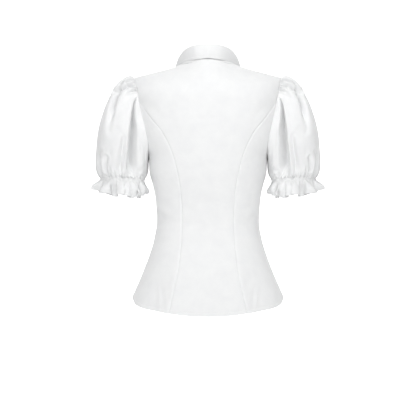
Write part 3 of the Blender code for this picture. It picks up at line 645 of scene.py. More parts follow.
def middle_panel(strip, start, side):
    """Left half of a back or front panel: columns of a straight strip, then shares out from start."""
    tip = ARMHOLE["height"][-1]
    columns = [middle_column(lambda z, x=x: x + 0.0 * z, side) for x in strip]
    for share in panel_shares(start):
        def x_of(z, share=share):
            edge = np.where(z < SPRING, princess_out(z, side), armhole_out(np.minimum(z, tip), side))
            return start + (edge - start) * share
        columns.append(middle_column(x_of, side))
    return np.stack([c[0] for c in columns]), np.stack([c[1] for c in columns])


def side_panel(side):
    """Panel on the left between the princess seam (first column) and the side seam (last column)."""
    def turn_of(out_at, z):
        x = out_at(z, side)
        return np.arctan2(depth_at(x, z, side), x)

    seam = np.array(SEAM_STEPS) / SIDE_WIDTH
    shares = np.concatenate((seam, np.linspace(seam[-1], 1 - seam[-1], SIDE_COLUMNS)[1:-1], 1 - seam[::-1]))
    middle = HEM_AT_SIDE - HEM_DROP / 2
    grid = []
    for share in shares:
        low, high = UNDERARM, SPRING
        for _ in range(40):
            at = (low + high) / 2
            inside = turn_of(princess_out, at) * (1 - share) > turn_of(armhole_out, at)
            low, high = (at, high) if inside else (low, at)
        top = SPRING if share == 0 else (UNDERARM if share == 1 else low)
        bottom = float(hem_height(turn_of(princess_out, middle) * (1 - share)))
        if share == 0:
            x = princess_out(middle, side)
            bottom = float(hem_height(np.arctan2(depth_at(x, HEM_AT_SIDE, side), x)))
        z = np.linspace(bottom, top, DENSE)
        turn = side * turn_of(princess_out, z) * (1 - share)
        line = round_point(turn, z), normal_of(round_point, turn, z, 1e-4, 0.02)
        grid.append(spaced(*line, HEM_STEPS, ROWS_BELOW, SEAM_STEPS))
    return np.stack([c[0] for c in grid]), np.stack([c[1] for c in grid])


def lengths(grid, axis):
    """Distance along the cloth from the first line of a grid, in the direction of the axis."""
    step = np.linalg.norm(np.diff(grid, axis=axis), axis=-1)
    start = np.zeros_like(np.take(step, [0], axis=axis))
    return np.concatenate((start, np.cumsum(step, axis=axis)), axis=axis)


def from_edges(grid):
    """Distance of each point of a grid from its four edges."""
    across, along = lengths(grid, 0), lengths(grid, 1)
    return {"first": across, "last": across[-1:] - across, "bottom": along, "top": along[:, -1:] - along}


def seam_shift(grid, edges):
    """Sewn edges roll in, and the cloth beside them puckers a little, unevenly."""
    away = from_edges(grid)
    shift = np.zeros(grid.shape[:2])
    for edge in edges:
        run = lengths(grid, 0 if edge in ("top", "bottom") else 1)
        phase = run / PUCKER_LENGTH * 2 * math.pi
        pucker = np.sin(phase + 1.7 * np.sin(run / 31.0) + 0.9 * np.sin(run / 13.0))
        uneven = 0.55 + 0.45 * np.sin(run / 47.0 + 1.0)
        shift -= SEAM_ROLL * bell(away[edge] / SEAM_ROLL_WIDTH)
        shift += PUCKER_DEPTH * pucker * uneven * bell(away[edge] / PUCKER_REACH)
    return shift


def hem_shift(grid):
    """The turned-up hem is thicker up to its stitch line, where the cloth is drawn in and waves a little."""
    away = from_edges(grid)["bottom"]
    run = lengths(grid, 0)
    drawn = 0.75 + 0.25 * np.sin(run / 9.0 + 1.3 * np.sin(run / 23.0))
    line = -HEM_LINE_DEPTH * drawn * bell((away - HEM_TURNING) / STITCH_GROOVE)
    return line + HEM_THICKER * ease((HEM_TURNING - away) / STITCH_GROOVE)


def rows_of(columns):
    """Rows of a table, each with its values by name."""
    names = list(columns)
    return [dict(zip(names, map(float, row))) for row in zip(*columns.values())]


def crease_shift(points):
    """Soft troughs with a low ridge on either side, drawn between two places on the torso."""
    shift = np.zeros(points.shape[:2])
    flat = points.reshape(-1, 3)
    out = shift.reshape(-1)
    for row in rows_of(CREASES):
        t = np.linspace(0, 1, 14)
        x = row["x0"] + (row["x1"] - row["x0"]) * t
        z = row["z0"] + (row["z1"] - row["z0"]) * t
        slant = unit(np.array((row["z1"] - row["z0"], row["x0"] - row["x1"])))
        bend = row["bow"] * 4 * t * (1 - t)
        line = skin(x + slant[0] * bend, z + slant[1] * bend, int(row["side"]))[0]
        for sign in (1, -1):
            path = line * np.array((sign, 1.0, 1.0))
            reach = 4 * row["half_width"]
            near = np.all((flat > path.min(axis=0) - reach) & (flat < path.max(axis=0) + reach), axis=1)
            if not near.any():
                continue
            here = flat[near]
            best = np.full(len(here), 1e9)
            share = np.zeros(len(here))
            for i in range(len(path) - 1):
                step = path[i + 1] - path[i]
                along = np.clip(((here - path[i]) @ step) / (step @ step), 0, 1)
                gap = np.linalg.norm(here - path[i] - along[:, None] * step, axis=1)
                share = np.where(gap < best, (i + along) / (len(path) - 1), share)
                best = np.minimum(gap, best)
            spread = best / row["half_width"]
            profile = bell(spread) - 0.4 * bell((spread - 2.0) / 0.9)
            out[near] -= row["depth"] * profile * np.sin(math.pi * share) ** 0.7
    return out.reshape(shift.shape)


def rumple(points, size, seed):
    """Uneven low waves over a whole piece, from sums of slanted sines."""
    rng = np.random.default_rng(seed)
    total = np.zeros(points.shape[:-1])
    for _ in range(9):
        direction = unit(rng.normal(size=3) * np.array((1.0, 1.0, 0.55)))
        pace = 2 * math.pi / (size * rng.uniform(0.7, 1.9))
        total += np.sin(points @ direction * pace + rng.uniform(0, 6.28)) * rng.uniform(0.4, 1.0)
    return total / 5.0


def panel_shift(points):
    """Creases and low waves that run across all the panels of the torso."""
    return crease_shift(points) + RUMPLE_DEPTH * rumple(points, 60.0, 3)


def wall(outer, inner, ring):
    """Points and faces for a closed shell between two grids."""
    columns, rows = outer.shape[:2]
    layer = columns * rows
    spans = columns if ring else columns - 1
    i, j = (k.reshape(-1) for k in np.meshgrid(np.arange(spans), np.arange(rows - 1), indexing="ij"))
    after = (i + 1) % columns
    a, b, c, d = i * rows + j, after * rows + j, after * rows + j + 1, i * rows + j + 1
    faces = [np.stack((a, b, c, d), 1), np.stack((a, d, c, b), 1) + layer]
    ends = np.arange(spans)
    low, low_after = ends * rows, ((ends + 1) % columns) * rows
    faces.append(np.stack((low, low + layer, low_after + layer, low_after), 1))
    high, high_after = low + rows - 1, low_after + rows - 1
    faces.append(np.stack((high, high_after, high_after + layer, high + layer), 1))
    if not ring:
        up = np.arange(rows - 1)
        faces.append(np.stack((up, up + 1, up + 1 + layer, up + layer), 1))
        last = up + (columns - 1) * rows
        faces.append(np.stack((last, last + layer, last + 1 + layer, last + 1), 1))
    return np.concatenate((outer.reshape(-1, 3), inner.reshape(-1, 3))), np.concatenate(faces)


def add_mesh(name, places, faces, material, uv=None, sharp=40):
    """Object from points in millimetres, its faces turned to point out of the solid."""
    faces = np.asarray(faces)
    corners = places[faces]
    volume = sum(
        float(np.einsum("ij,ij->", corners[:, 0], np.cross(corners[:, k], corners[:, k + 1])))
        for k in range(1, faces.shape[1] - 1)
    )
    if volume < 0:
        faces = faces[:, ::-1]
    mesh = bpy.data.meshes.new(name)
    mesh.from_pydata((places * MM).tolist(), [], faces.tolist())
    mesh.shade_smooth()
    mesh.set_sharp_from_angle(angle=math.radians(sharp))
    mesh.materials.append(material)
    if uv is not None:
        layer = mesh.uv_layers.new(name="cloth")
        layer.data.foreach_set("uv", uv[faces.reshape(-1)].astype(np.float32).reshape(-1))
    built = bpy.data.objects.new(name, mesh)
    bpy.context.scene.collection.objects.link(built)
    return built


def cloth(name, points, normals, material, nodes, ring=False, thickness=SHELL):
    """Closed cloth shell about a grid, in place of its nodes, with its weave laid along the grid."""
    places, faces = wall(points + normals * thickness / 2, points - normals * thickness / 2, ring)
    across = lengths(points, 0)
    across = across - across[-1:] / 2
    along = lengths(points, 1)
    uv = np.tile(np.stack((across, along), axis=-1).reshape(-1, 2), (2, 1)) * MM
    built = add_mesh(name, places, faces, material, uv)
    return dress(built, "cotton", *nodes)


def dress(built, slot, *nodes):
    """The piece rides on the one body and stands for the nodes, whose parts are hidden; the slot is not used.
    """
    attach(built, "root")
    if nodes:
        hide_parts(*nodes)
    return built


def stand_top(turn):
    """Upper edge of the collar stand."""
    back = np.sin(turn) >= 0
    reach = np.where(back, STAND_TOP["back"], STAND_TOP["front"])
    end_height = np.where(back, STAND_TOP["back_height"], STAND_TOP["front_height"])
    share = np.sin(turn) ** 2
    share = np.where(back, 1 - (1 - share) ** 2, share)
    z = STAND_TOP["side_height"] * (1 - share) + end_height * share
    return stack(STAND_TOP["half_width"] * np.cos(turn), reach * np.sin(turn), z)


def stand_wrap(turn):
    """Outward step of the stand: its right end passes over its left end in front."""
    from_back = np.degrees(turn - math.pi / 2)
    reach = np.max(np.abs(from_back)) - STAND_WRAP_FADE
    share = ease((np.abs(from_back) - reach) / STAND_WRAP_FADE)
    return np.sign(from_back) * share * STAND_WRAP


def grid_normals(grid, ring):
    """Normals of a grid of points that stands round a vertical hollow, pointing out of it."""
    padded = np.concatenate((grid[-1:], grid, grid[:1])) if ring else grid
    around = np.gradient(padded, axis=0)
    around = around[1:-1] if ring else around
    normal = unit(np.cross(around, np.gradient(grid, axis=1)))
    middle = grid.mean(axis=(0, 1))
    away = np.sum(normal * (grid - middle), axis=-1)
    return normal if np.sum(away) > 0 else -normal


def fall_edge(share):
    """Outer edge of the collar fall, from share -1 at the right point to 1 at the left one."""
    at = np.abs(share)
    x, y, z = (smooth(FALL_EDGE, name, at) for name in "xyz")
    return stack(x * np.sign(share), y, z)


def cuff_point(turn, drop, grow):
    """Point on the cuff's oval, lowered by drop and moved out by grow; its inner side hangs lower."""
    x, y, z = CUFF_CENTRE
    across = np.cos(turn)
    tilt = CUFF_TILT * across
    return stack(
        x + (CUFF_HALF_WIDTH + grow) * across, y + (CUFF_HALF_DEPTH + grow) * np.sin(turn), z + tilt - drop
    )


def fold_shift(away, share, folds, steep=()):
    """How far the folds of one side move the cloth out, by degrees from the outer side and share down."""
    shift = np.zeros_like(share)
    for name, rows in folds.items():
        spread = (away - smooth(rows, "turn", share)) / smooth(rows, "half_width", share)
        shift += smooth(rows, "out", share) * np.exp(-(np.abs(spread) ** (4 if name in steep else 2)))
    return shift


def cross_shift(away, share, creases):
    """Short creases that run across a sleeve's threads, from one place on it to another."""
    across, down = away * SLEEVE_DEGREE, share * SLEEVE_LENGTH
    shift = np.zeros_like(share)
    for row in rows_of(creases):
        start = np.array((row["turn0"] * SLEEVE_DEGREE, row["share0"] * SLEEVE_LENGTH))
        step = np.array((row["turn1"] * SLEEVE_DEGREE, row["share1"] * SLEEVE_LENGTH)) - start
        along = np.clip(((across - start[0]) * step[0] + (down - start[1]) * step[1]) / (step @ step), 0, 1)
        gap = np.hypot(across - start[0] - along * step[0], down - start[1] - along * step[1])
        spread = gap / row["half_width"]
        shift -= row["depth"] * (bell(spread) - 0.35 * bell((spread - 2.1) / 0.9))
    return shift


def gather_shift(turn, share):
    """Gathers that fan out from the sleeve's head and from its cuff, uneven in size and spacing."""
    uneven = 0.35 * np.sin(2 * turn + 0.6) + 0.25 * np.sin(5 * turn + 1.9)
    wave = np.cos(GATHERS * turn + uneven)
    at_cuff = wave * (0.75 + 0.25 * np.sin(3 * turn + 0.4))
    near_cuff = ease((share - 0.72) / 0.2) * (1 - 0.75 * ease((share - 0.93) / 0.07))
    at_head = wave * ease((HEAD_GATHER_REACH - from_outer(turn)) / HEAD_GATHER_FADE)
    near_head = ease(share / 0.05) * (1 - ease((share - 0.08) / 0.22))
    return CUFF_GATHER_DEPTH * at_cuff * near_cuff + HEAD_GATHER_DEPTH * at_head * near_head


def mirrored(points):
    return points * np.array((-1.0, 1.0, 1.0))


def inset_line(points, normals, edge, inset):
    """Line that runs beside one edge of a grid, at a distance from it, with its normals."""
    away = from_edges(points)[edge]
    if edge in ("first", "last"):
        away, points, normals = away.T, points.swapaxes(0, 1), normals.swapaxes(0, 1)
    if edge in ("top", "last"):
        away, points, normals = away[:, ::-1], points[:, ::-1], normals[:, ::-1]
    line, facing = (
        np.stack([read_at(inset, run, one) for run, one in zip(away, grid)])
        for grid in (points, normals)
    )
    return line, unit(facing)


def stitches(name, lines, thickness=SHELL, pitch=3.0, length=2.2, radius=0.2):
    """Rows of stitches, each a short thread lying on the cloth, joined into one piece."""
    ring = np.array([(math.cos(a), math.sin(a)) for a in np.arange(4) * math.pi / 2])
    cell = []
    for k in range(4):
        after = (k + 1) % 4
        low, low_after, high, high_after = 1 + k, 1 + after, 5 + k, 5 + after
        cell += [(0, low_after, low), (9, high, high_after)]
        cell += [(low, low_after, high_after), (low, high_after, high)]
    places, faces = [], []
    for points, normals in lines:
        run = run_of(points)
        starts = np.arange(0.5, run[-1] - length, pitch)
        out = unit(read_at(starts + length / 2, run, normals))
        lift = out * (thickness / 2 + radius * 0.4)
        one, two = (read_at(s, run, points) + lift for s in (starts, starts + length))
        along = unit(two - one)
        across = np.cross(along, out)
        parts = [(one - out * radius)[:, None]]
        for share in (0.2, 0.8):
            middle = one + (two - one) * share
            spokes = ring[None, :, :1] * across[:, None] + ring[None, :, 1:] * out[:, None]
            parts.append(middle[:, None] + spokes * radius)
        parts.append((two - out * radius)[:, None])
        first = sum(len(p) for p in places)
        places.append(np.concatenate(parts, axis=1).reshape(-1, 3))
        base = first + 10 * np.arange(len(starts))
        faces.append((np.array(cell)[None] + base[:, None, None]).reshape(-1, 3))
    built = add_mesh(name, np.concatenate(places), np.concatenate(faces), THREAD)
    return dress(built, "cotton")


def build_back():
    """Middle back panel between the princess seams."""
    points = np.concatenate((mirrored(BACK[0][:0:-1]), BACK[0]))
    normals = np.concatenate((mirrored(BACK[1][:0:-1]), BACK[1]))
    shift = seam_shift(points, ("first", "last", "top")) + hem_shift(points)
    shift += panel_shift(points)
    points = points + normals * shift[..., None]
    piece = cloth("back_cloth", points, normals, COTTON, ("back_panel",))
    return [inset_line(points, normals, "bottom", HEM_TURNING)]


SIDE_SHEETS = (("side_back", 1, (0.15, 0.54), 0.042), ("side_front", -1, (0.14, 0.54), 0.042))


def build_side_panels():
    lines = []
    for name, side, flat, area in SIDE_SHEETS:
        for hand in ("left", "right"):
            points, normals = side_panel(side)
            if hand == "right":
                points, normals = mirrored(points), mirrored(normals)
            shift = seam_shift(points, ("first", "last", "top")) + hem_shift(points)
            shift += panel_shift(points)
            points = points + normals * shift[..., None]
            piece = cloth(f"{name}_{hand}_cloth", points, normals, COTTON, (f"{name}_{hand}",))
            lines.append(inset_line(points, normals, "bottom", HEM_TURNING))
    return lines


def build_fronts():
    """The right front lies over the left one, which drops under it near the middle."""
    lines = []
    for hand in ("right", "left"):
        points, normals = FRONT
        drop = UNDERLAP_DROP * (1 - ease((points[..., :1] - OVERLAP) / UNDERLAP_FADE))
        if hand == "right":
            points, normals, drop = mirrored(points), mirrored(normals), 0.0
        shift = seam_shift(points, ("last", "top")) + hem_shift(points)
        shift += panel_shift(points)
        points = points + normals * (shift[..., None] - drop)
        piece = cloth(f"front_{hand}_cloth", points, normals, COTTON, (f"front_{hand}",))
        lines.append(inset_line(points, normals, "bottom", HEM_TURNING))
    return lines


def build_placket():
    """Stiffened band down the edge of the right front, stitched along both of its long edges."""
    points, normals = (mirrored(grid[: len(STRIP) + 1]) for grid in FRONT)
    away = from_edges(points)
    shift = panel_shift(points)
    for edge in ("first", "last"):
        shift -= PLACKET_ROLL * bell(away[edge] / PLACKET_GROOVE)
        shift -= HEM_LINE_DEPTH * bell((away[edge] - PLACKET_LINE) / PLACKET_GROOVE)
    points = points + normals * (shift + PLACKET_LIFT)[..., None]
    piece = cloth("placket_cloth", points, normals, COTTON, ("placket",), thickness=STIFF_SHELL)
    lines = [inset_line(points, normals, edge, PLACKET_LINE) for edge in ("first", "last")]
    stitches("placket_stitches", lines, STIFF_SHELL)
    return points, normals


def neck_line():
    """Neckline through the panels' top edges, from the left front's edge round the back to the right's."""
    parts = []
    for front, back in zip(FRONT, BACK):
        rising = front[: len(STRIP) + NECK_COLUMNS, -1]
        across = back[:NECK_COLUMNS, -1]
        half = np.concatenate((rising, across[-2:0:-1]))
        parts.append(np.concatenate((half, across[:1], mirrored(half)[::-1])))
    points, normals = parts[0], unit(parts[1])
    upward = unit(np.cross(normals, np.gradient(points, axis=0)))
    upward = np.where(upward[:, 2:] < 0, -upward, upward)
    reach = np.where(points[:, 1] >= 0, NECK_BACK, NECK_FRONT)
    turn = np.arctan2(points[:, 1] / reach, points[:, 0] / NECK_HALF_WIDTH)
    return points, normals, upward, np.unwrap(turn)


def stand_grid():
    """Points, normals and turns of the collar stand, which rises from the neckline."""
    points, normals, upward, turn = neck_line()
    start = points - upward * 0.4
    end = stand_top(turn)
    handle = start + upward * STAND_RISE
    share = np.linspace(0, 1, 16)[None, :, None]
    grid = (
        start[:, None] * (1 - share) ** 2
        + handle[:, None] * 2 * share * (1 - share)
        + end[:, None] * share**2
    )
    facing = grid_normals(grid, False)
    return grid + facing * stand_wrap(turn)[:, None, None], facing, turn


def build_stand():
    points, normals, turn = stand_grid()
    away = from_edges(points)
    line = np.minimum.reduce([away[edge] for edge in ("first", "last", "bottom")])
    shift = -STAND_LINE_DEPTH * bell((line - COLLAR_LINE) / STITCH_GROOVE)
    points = points + normals * shift[..., None]
    piece = cloth("collar_stand_cloth", points, normals, COTTON, ("collar_stand",), thickness=STIFF_SHELL)
    stitches("collar_stand_stitches", [inset_line(points, normals, "bottom", COLLAR_LINE)], STIFF_SHELL)
    return points, normals, turn


def fall_grid():
    """Collar fall, which rolls over the top of the stand and lies down round the neck."""
    gap = math.asin(FALL_START / STAND_TOP["half_width"])
    stand, stand_facing, stand_turn = stand_grid()
    ends = np.array((gap - math.pi / 2, 3 * math.pi / 2 - gap))
    near = np.radians((0.5, 1.3, 2.6, 4.2, 6.0))
    between = stand_turn[(stand_turn > ends[0] + near[-1]) & (stand_turn < ends[1] - near[-1])]
    turn = np.concatenate((ends[:1], ends[0] + near, between, ends[1] - near[::-1], ends[1:]))
    share = (math.pi / 2 - turn) / (math.pi - gap)
    rising = unit(np.cross(stand_facing[:, -1], np.gradient(stand[:, -1], axis=0)))
    rising = np.where(rising[:, 2:] < 0, -rising, rising)
    lines = (stand[:, -1], rising, stand_facing[:, -1])
    top, rising, facing = (read_at(turn, stand_turn, line) for line in lines)
    start = top + unit(rising) * 3 * SEAM_GAP
    end = fall_edge(share)
    outward = unit((end - start) * np.array((1.0, 1.0, 0.0)))
    up = np.array((0.0, 0.0, 1.0))
    front = ease((np.abs(share) - FALL_FRONT) / (1 - FALL_FRONT))[:, None]
    end = end - outward * FALL_CLOSER * (1 - front)
    first = start + (unit(rising) + facing * FALL_LEAN * front) * FALL_ROLL
    at_point = stack(-FALL_POINT_HANDLE[0] * np.sign(share), FALL_POINT_HANDLE[1], FALL_POINT_HANDLE[2])
    second = end + (up * FALL_DROP + outward * FALL_BULGE) * (1 - front) + at_point * front
    t = stretches(*FALL_ROWS)[None, :, None]
    grid = curve(start, first, second, end, t)
    return grid, grid_normals(grid, False)


def build_fall():
    points, normals = fall_grid()
    away = from_edges(points)
    line = np.minimum.reduce([away[edge] for edge in ("first", "last", "top")])
    run = lengths(points, 0)
    drawn = 0.12 * np.sin(run / 5.0 + 1.5 * np.sin(run / 21.0))
    shift = -COLLAR_LINE_DEPTH * bell((line - COLLAR_LINE) / 0.9)
    shift += 0.2 * ease((COLLAR_LINE - line) / 1.5)
    shift += drawn * bell((line - COLLAR_LINE) / 3.0)
    shift += FALL_RUMPLE * rumple(points, 34.0, 8)
    points = points + normals * shift[..., None]
    piece = cloth("collar_fall_cloth", points, normals, COTTON, ("collar_fall",), thickness=STIFF_SHELL)
    lines = []
    for edge, keep in (("top", slice(3, -3)), ("first", slice(2, -8)), ("last", slice(2, -8))):
        line, facing = inset_line(points, normals, edge, COLLAR_LINE)
        lines.append((line[keep], facing[keep]))
    stitches("collar_fall_stitches", lines, STIFF_SHELL)


def armhole_half(side):
    """Half of the left armhole, from the shoulder tip down to the underarm, along the panels' edges."""
    middle, outer = (BACK, BACK_SIDE) if side > 0 else (FRONT, FRONT_SIDE)
    seam_row = len(HEM_STEPS) + ROWS_BELOW
    points, normals = (np.concatenate((one[-1, :seam_row:-1], two[:, -1])) for one, two in zip(middle, outer))
    run = run_of(points)
    wanted = np.linspace(0, run[-1], DENSE)
    return read_at(wanted, run, points), unit(read_at(wanted, run, normals))


def armhole_loop(turn):
    """Points and normals of the left armhole: turn 0 is the shoulder tip, a quarter turn the back."""
    points = np.zeros((len(turn), 3))
    normals = np.zeros((len(turn), 3))
    for side in (1, -1):
        line, facing = armhole_half(side)
        here = (np.sin(turn) >= 0) if side > 0 else (np.sin(turn) < 0)
        share = np.arccos(np.cos(turn[here])) / math.pi * (DENSE - 1)
        points[here] = read_at(share, np.arange(DENSE), line)
        normals[here] = read_at(share, np.arange(DENSE), facing)
    return points, unit(normals)


def thread(points, shares):
    run = run_of(points)
    return read_at(shares * run[-1], run, points)


def fine_gathers(turn, share):
    """Small gathers between the large ones, short and uneven, at the head and at the cuff."""
    lean = 0.6 * np.sin(3 * turn + 1.2) + 0.5 * np.sin(7 * turn + 0.3)
    wave = np.cos(41 * turn + lean) + 0.6 * np.cos(29 * turn - lean + 0.8)
    reach = 0.08 + 0.035 * np.sin(5 * turn + 0.9) + 0.02 * np.sin(13 * turn)
    at_cuff = wave * bell((1 - share) / reach)
    at_head = wave * ease((HEAD_GATHER_REACH - from_outer(turn)) / HEAD_GATHER_FADE)
    at_head = at_head * bell(share / (reach * 0.8))
    return FINE_CUFF_DEPTH * at_cuff + FINE_HEAD_DEPTH * at_head


def sleeve_grid(turn):
    """Left sleeve: threads from the armhole to the cuff, then pushed in and out by folds and gathers."""
    side = np.where(np.sin(turn) >= 0, 1.0, -1.0)
    away = from_outer(turn)
    armhole_turn = np.radians(smooth(SLEEVE, "armhole", away)) * side
    edge, facing = armhole_loop(armhole_turn)
    start = edge - facing * SEAM_ROLL + SLEEVE_AXIS * 0.1
    end = cuff_point(turn, SEAM_GAP + SOLID_WALL / 2, -0.6)
    handles = {name: by_turn(SLEEVE, name, turn) for name in ("head_x", "head_z", "cuff_x", "cuff_z")}
    handles |= {name: smooth(SLEEVE, name, away) * side for name in ("head_y", "cuff_y")}
    first = start + stack(handles["head_x"], handles["head_y"], handles["head_z"])
    second = end + stack(handles["cuff_x"], handles["cuff_y"], handles["cuff_z"])
    t = np.linspace(0, 1, DENSE)[None, :, None]
    rows = stretches(*SLEEVE_ROWS)
    grid = np.stack([thread(points, rows) for points in curve(start, first, second, end, t)])
    share = np.broadcast_to(rows[None, :], grid.shape[:2])
    back, front = (
        fold_shift(away[:, None], share, large, STEEP_FOLDS) + fold_shift(away[:, None], share, small)
        for large, small in ((BACK_FOLDS, BACK_CREASES), (FRONT_FOLDS, FRONT_CREASES))
    )
    crossing = (cross_shift(away[:, None], share, creases) for creases in (BACK_CROSSING, FRONT_CROSSING))
    back, front = (one + two for one, two in zip((back, front), crossing))
    under = ease((UNDERARM_TURN - away) / UNDERARM_FADE)[:, None]
    shift = (np.where(side[:, None] > 0, back, front) + gather_shift(turn[:, None], share)) * under
    waves = SLEEVE_RUMPLE * rumple(grid, 45.0, 5) * ease(share / 0.2) * ease((1 - share) / 0.2)
    shift += fine_gathers(turn[:, None], share) + waves
    held = ease(share / 0.012)
    grid = grid + grid_normals(grid, True) * (shift * held)[..., None]
    return grid, grid_normals(grid, True)


def build_sleeves():
    turn = np.linspace(0, 2 * math.pi, SLEEVE_THREADS + 1)[:-1]
    points, normals = sleeve_grid(turn)
    for hand, flip in (("left", 1.0), ("right", -1.0)):
        to = np.array((flip, 1.0, 1.0))
        node = f"sleeve_{hand}"
        piece = cloth(f"{node}_cloth", points * to, normals * to, COTTON, (node,), ring=True)


def band_grid():
    """Casing drawn in by its elastic, finely ribbed."""
    turn = np.linspace(0, 2 * math.pi, BAND_THREADS + 1)[:-1]
    rib = np.cos(GATHERS * turn) + 0.7 * np.cos(41 * turn + 0.5 * np.sin(3 * turn))
    rib = rib + 0.5 * np.cos(67 * turn + 2.0)
    top, bottom = SEAM_GAP + 0.2, 2 * SEAM_GAP + SOLID_WALL + BAND_HEIGHT + 0.4
    rows = []
    for share in np.linspace(0, 1, BAND_ROWS):
        held = bell((share - 0.5) / 0.16)
        out = BAND_RIB * rib * (1 - 0.35 * held) - BAND_DRAW * held + 0.4 * math.sin(math.pi * share)
        rows.append(cuff_point(turn, top + (bottom - top) * share, out))
    band = np.stack(rows, axis=1)
    return band, grid_normals(band, True)


def ruffle_grid():
    """Ruffle that flares below the casing in pleats, each of them uneven and a little aslant."""
    turn = np.linspace(0, 2 * math.pi, RUFFLE_THREADS + 1)[:-1]
    flare_out = by_turn(RUFFLE, "flare", turn)
    fall = by_turn(RUFFLE, "fall", turn)
    phase = RUFFLE_WAVES * turn + 0.5 * np.sin(2 * turn)
    size = 0.8 + 0.2 * np.sin(5 * turn + 1.0)
    start = 2 * SEAM_GAP + SOLID_WALL + BAND_HEIGHT - 0.4
    rows = []
    for share in stretches(*RUFFLE_ROWS):
        open_share = float(ease(0.12 + share * 1.1))
        wave = np.cos(phase + RUFFLE_SLANT * share * np.sin(2 * turn + 0.4)) * size
        wave = np.where(wave < 0, RUFFLE_HOLLOW * wave, wave)
        gather = 0.8 * np.cos(36 * turn + 0.8 * np.sin(4 * turn)) * bell(share / 0.3)
        ripple = RUFFLE_RIPPLE * np.cos(23 * turn + 1.0 + 2.0 * share + np.sin(3 * turn)) * open_share
        out = flare_out * (1 - (1 - share) ** 2) + RUFFLE_OPEN * RUFFLE_DEPTH * wave * open_share
        out = out + gather + ripple
        sway = RUFFLE_SWAY * np.sin(2 * phase + 0.6) * open_share / CUFF_HALF_WIDTH
        lift = RUFFLE_LIFT * np.minimum(wave, 1.0) * open_share * share
        rows.append(cuff_point(turn + sway, start + fall * share - lift, out))
    ruffle = np.stack(rows, axis=1)
    return ruffle, grid_normals(ruffle, True)


def build_cuffs():
    casing, frill = band_grid(), ruffle_grid()
    for hand, flip in (("left", 1.0), ("right", -1.0)):
        to = np.array((flip, 1.0, 1.0))
        band, ruffle = f"cuff_band_{hand}", f"cuff_ruffle_{hand}"
        piece = cloth(f"{band}_cloth", *(grid * to for grid in casing), COTTON, (band,), ring=True)
        piece = cloth(f"{ruffle}_cloth", *(grid * to for grid in frill), COTTON, (ruffle,), ring=True)
        closed = [np.concatenate((grid, grid[:1])) * to for grid in frill]
        line = inset_line(*closed, "top", RUFFLE_LINE)
        stitches(f"{ruffle}_stitches", [line], pitch=2.6, length=1.9, radius=0.16)


def button_template():
    """Round button with a raised rim and four holes, centred and facing +Z."""
    profile, sides = BUTTON_PROFILE, BUTTON_SIDES
    angles = np.arange(sides) * 2 * math.pi / sides
    places = [(0.0, 0.0, profile[0][1])]
    for radius, z in profile[1:-1]:
        places += [(radius * math.cos(a), radius * math.sin(a), z) for a in angles]
    places.append((0.0, 0.0, profile[-1][1]))
    faces = []
    last = len(places) - 1
    for k in range(sides):
        after = (k + 1) % sides
        faces.append((0, 1 + after, 1 + k))
        for ring in range(len(profile) - 3):
            low, high = 1 + ring * sides, 1 + (ring + 1) * sides
            faces += [(low + k, low + after, high + after), (low + k, high + after, high + k)]
        high = 1 + (len(profile) - 3) * sides
        faces.append((high + k, high + after, last))
    body = add_mesh("button_blank", np.array(places), faces, RESIN, sharp=35)
    for k in range(4):
        angle = math.pi / 4 + k * math.pi / 2
        x, y = BUTTON_HOLE_OUT * math.cos(angle) * MM, BUTTON_HOLE_OUT * math.sin(angle) * MM
        bpy.ops.mesh.primitive_cylinder_add(
            vertices=16, radius=BUTTON_HOLE_RADIUS * MM, depth=8 * MM, location=(x, y, 0.0)
        )
        drill = bpy.context.object
        drill.data.materials.append(RESIN)
        cut = body.modifiers.new("hole", "BOOLEAN")
        cut.operation = "DIFFERENCE"
        cut.object = drill
        shape = bpy.data.meshes.new_from_object(body.evaluated_get(bpy.context.evaluated_depsgraph_get()))
        body.modifiers.clear()
        body.data = shape
        bpy.data.objects.remove(drill, do_unlink=True)
    body.data.set_sharp_from_angle(angle=math.radians(35))
    mesh = body.data
    bpy.data.objects.remove(body, do_unlink=True)
    return mesh


def capsule(one, two, radius):
    """Points and triangles of a short thread between two points, in millimetres."""
    along = unit(two - one)
    helper = np.array((0.0, 0.0, 1.0)) if abs(along[2]) < 0.8 else np.array((1.0, 0.0, 0.0))
    across = unit(np.cross(along, helper))
    other = np.cross(along, across)
    places = [one]
    for share in (0.12, 0.5, 0.88):
        swell = radius * (1.0 if share == 0.5 else 0.85)
        for k in range(6):
            a = k * math.pi / 3
            places.append(one + (two - one) * share + (across * math.cos(a) + other * math.sin(a)) * swell)
    places.append(two)
    faces = []
    for k in range(6):
        after = (k + 1) % 6
        faces += [(0, 1 + after, 1 + k), (19, 13 + k, 13 + after)]
        for ring in (0, 1):
            low, high = 1 + ring * 6, 7 + ring * 6
            faces += [(low + k, low + after, high + after), (low + k, high + after, high + k)]
    return np.array(places), np.array(faces)


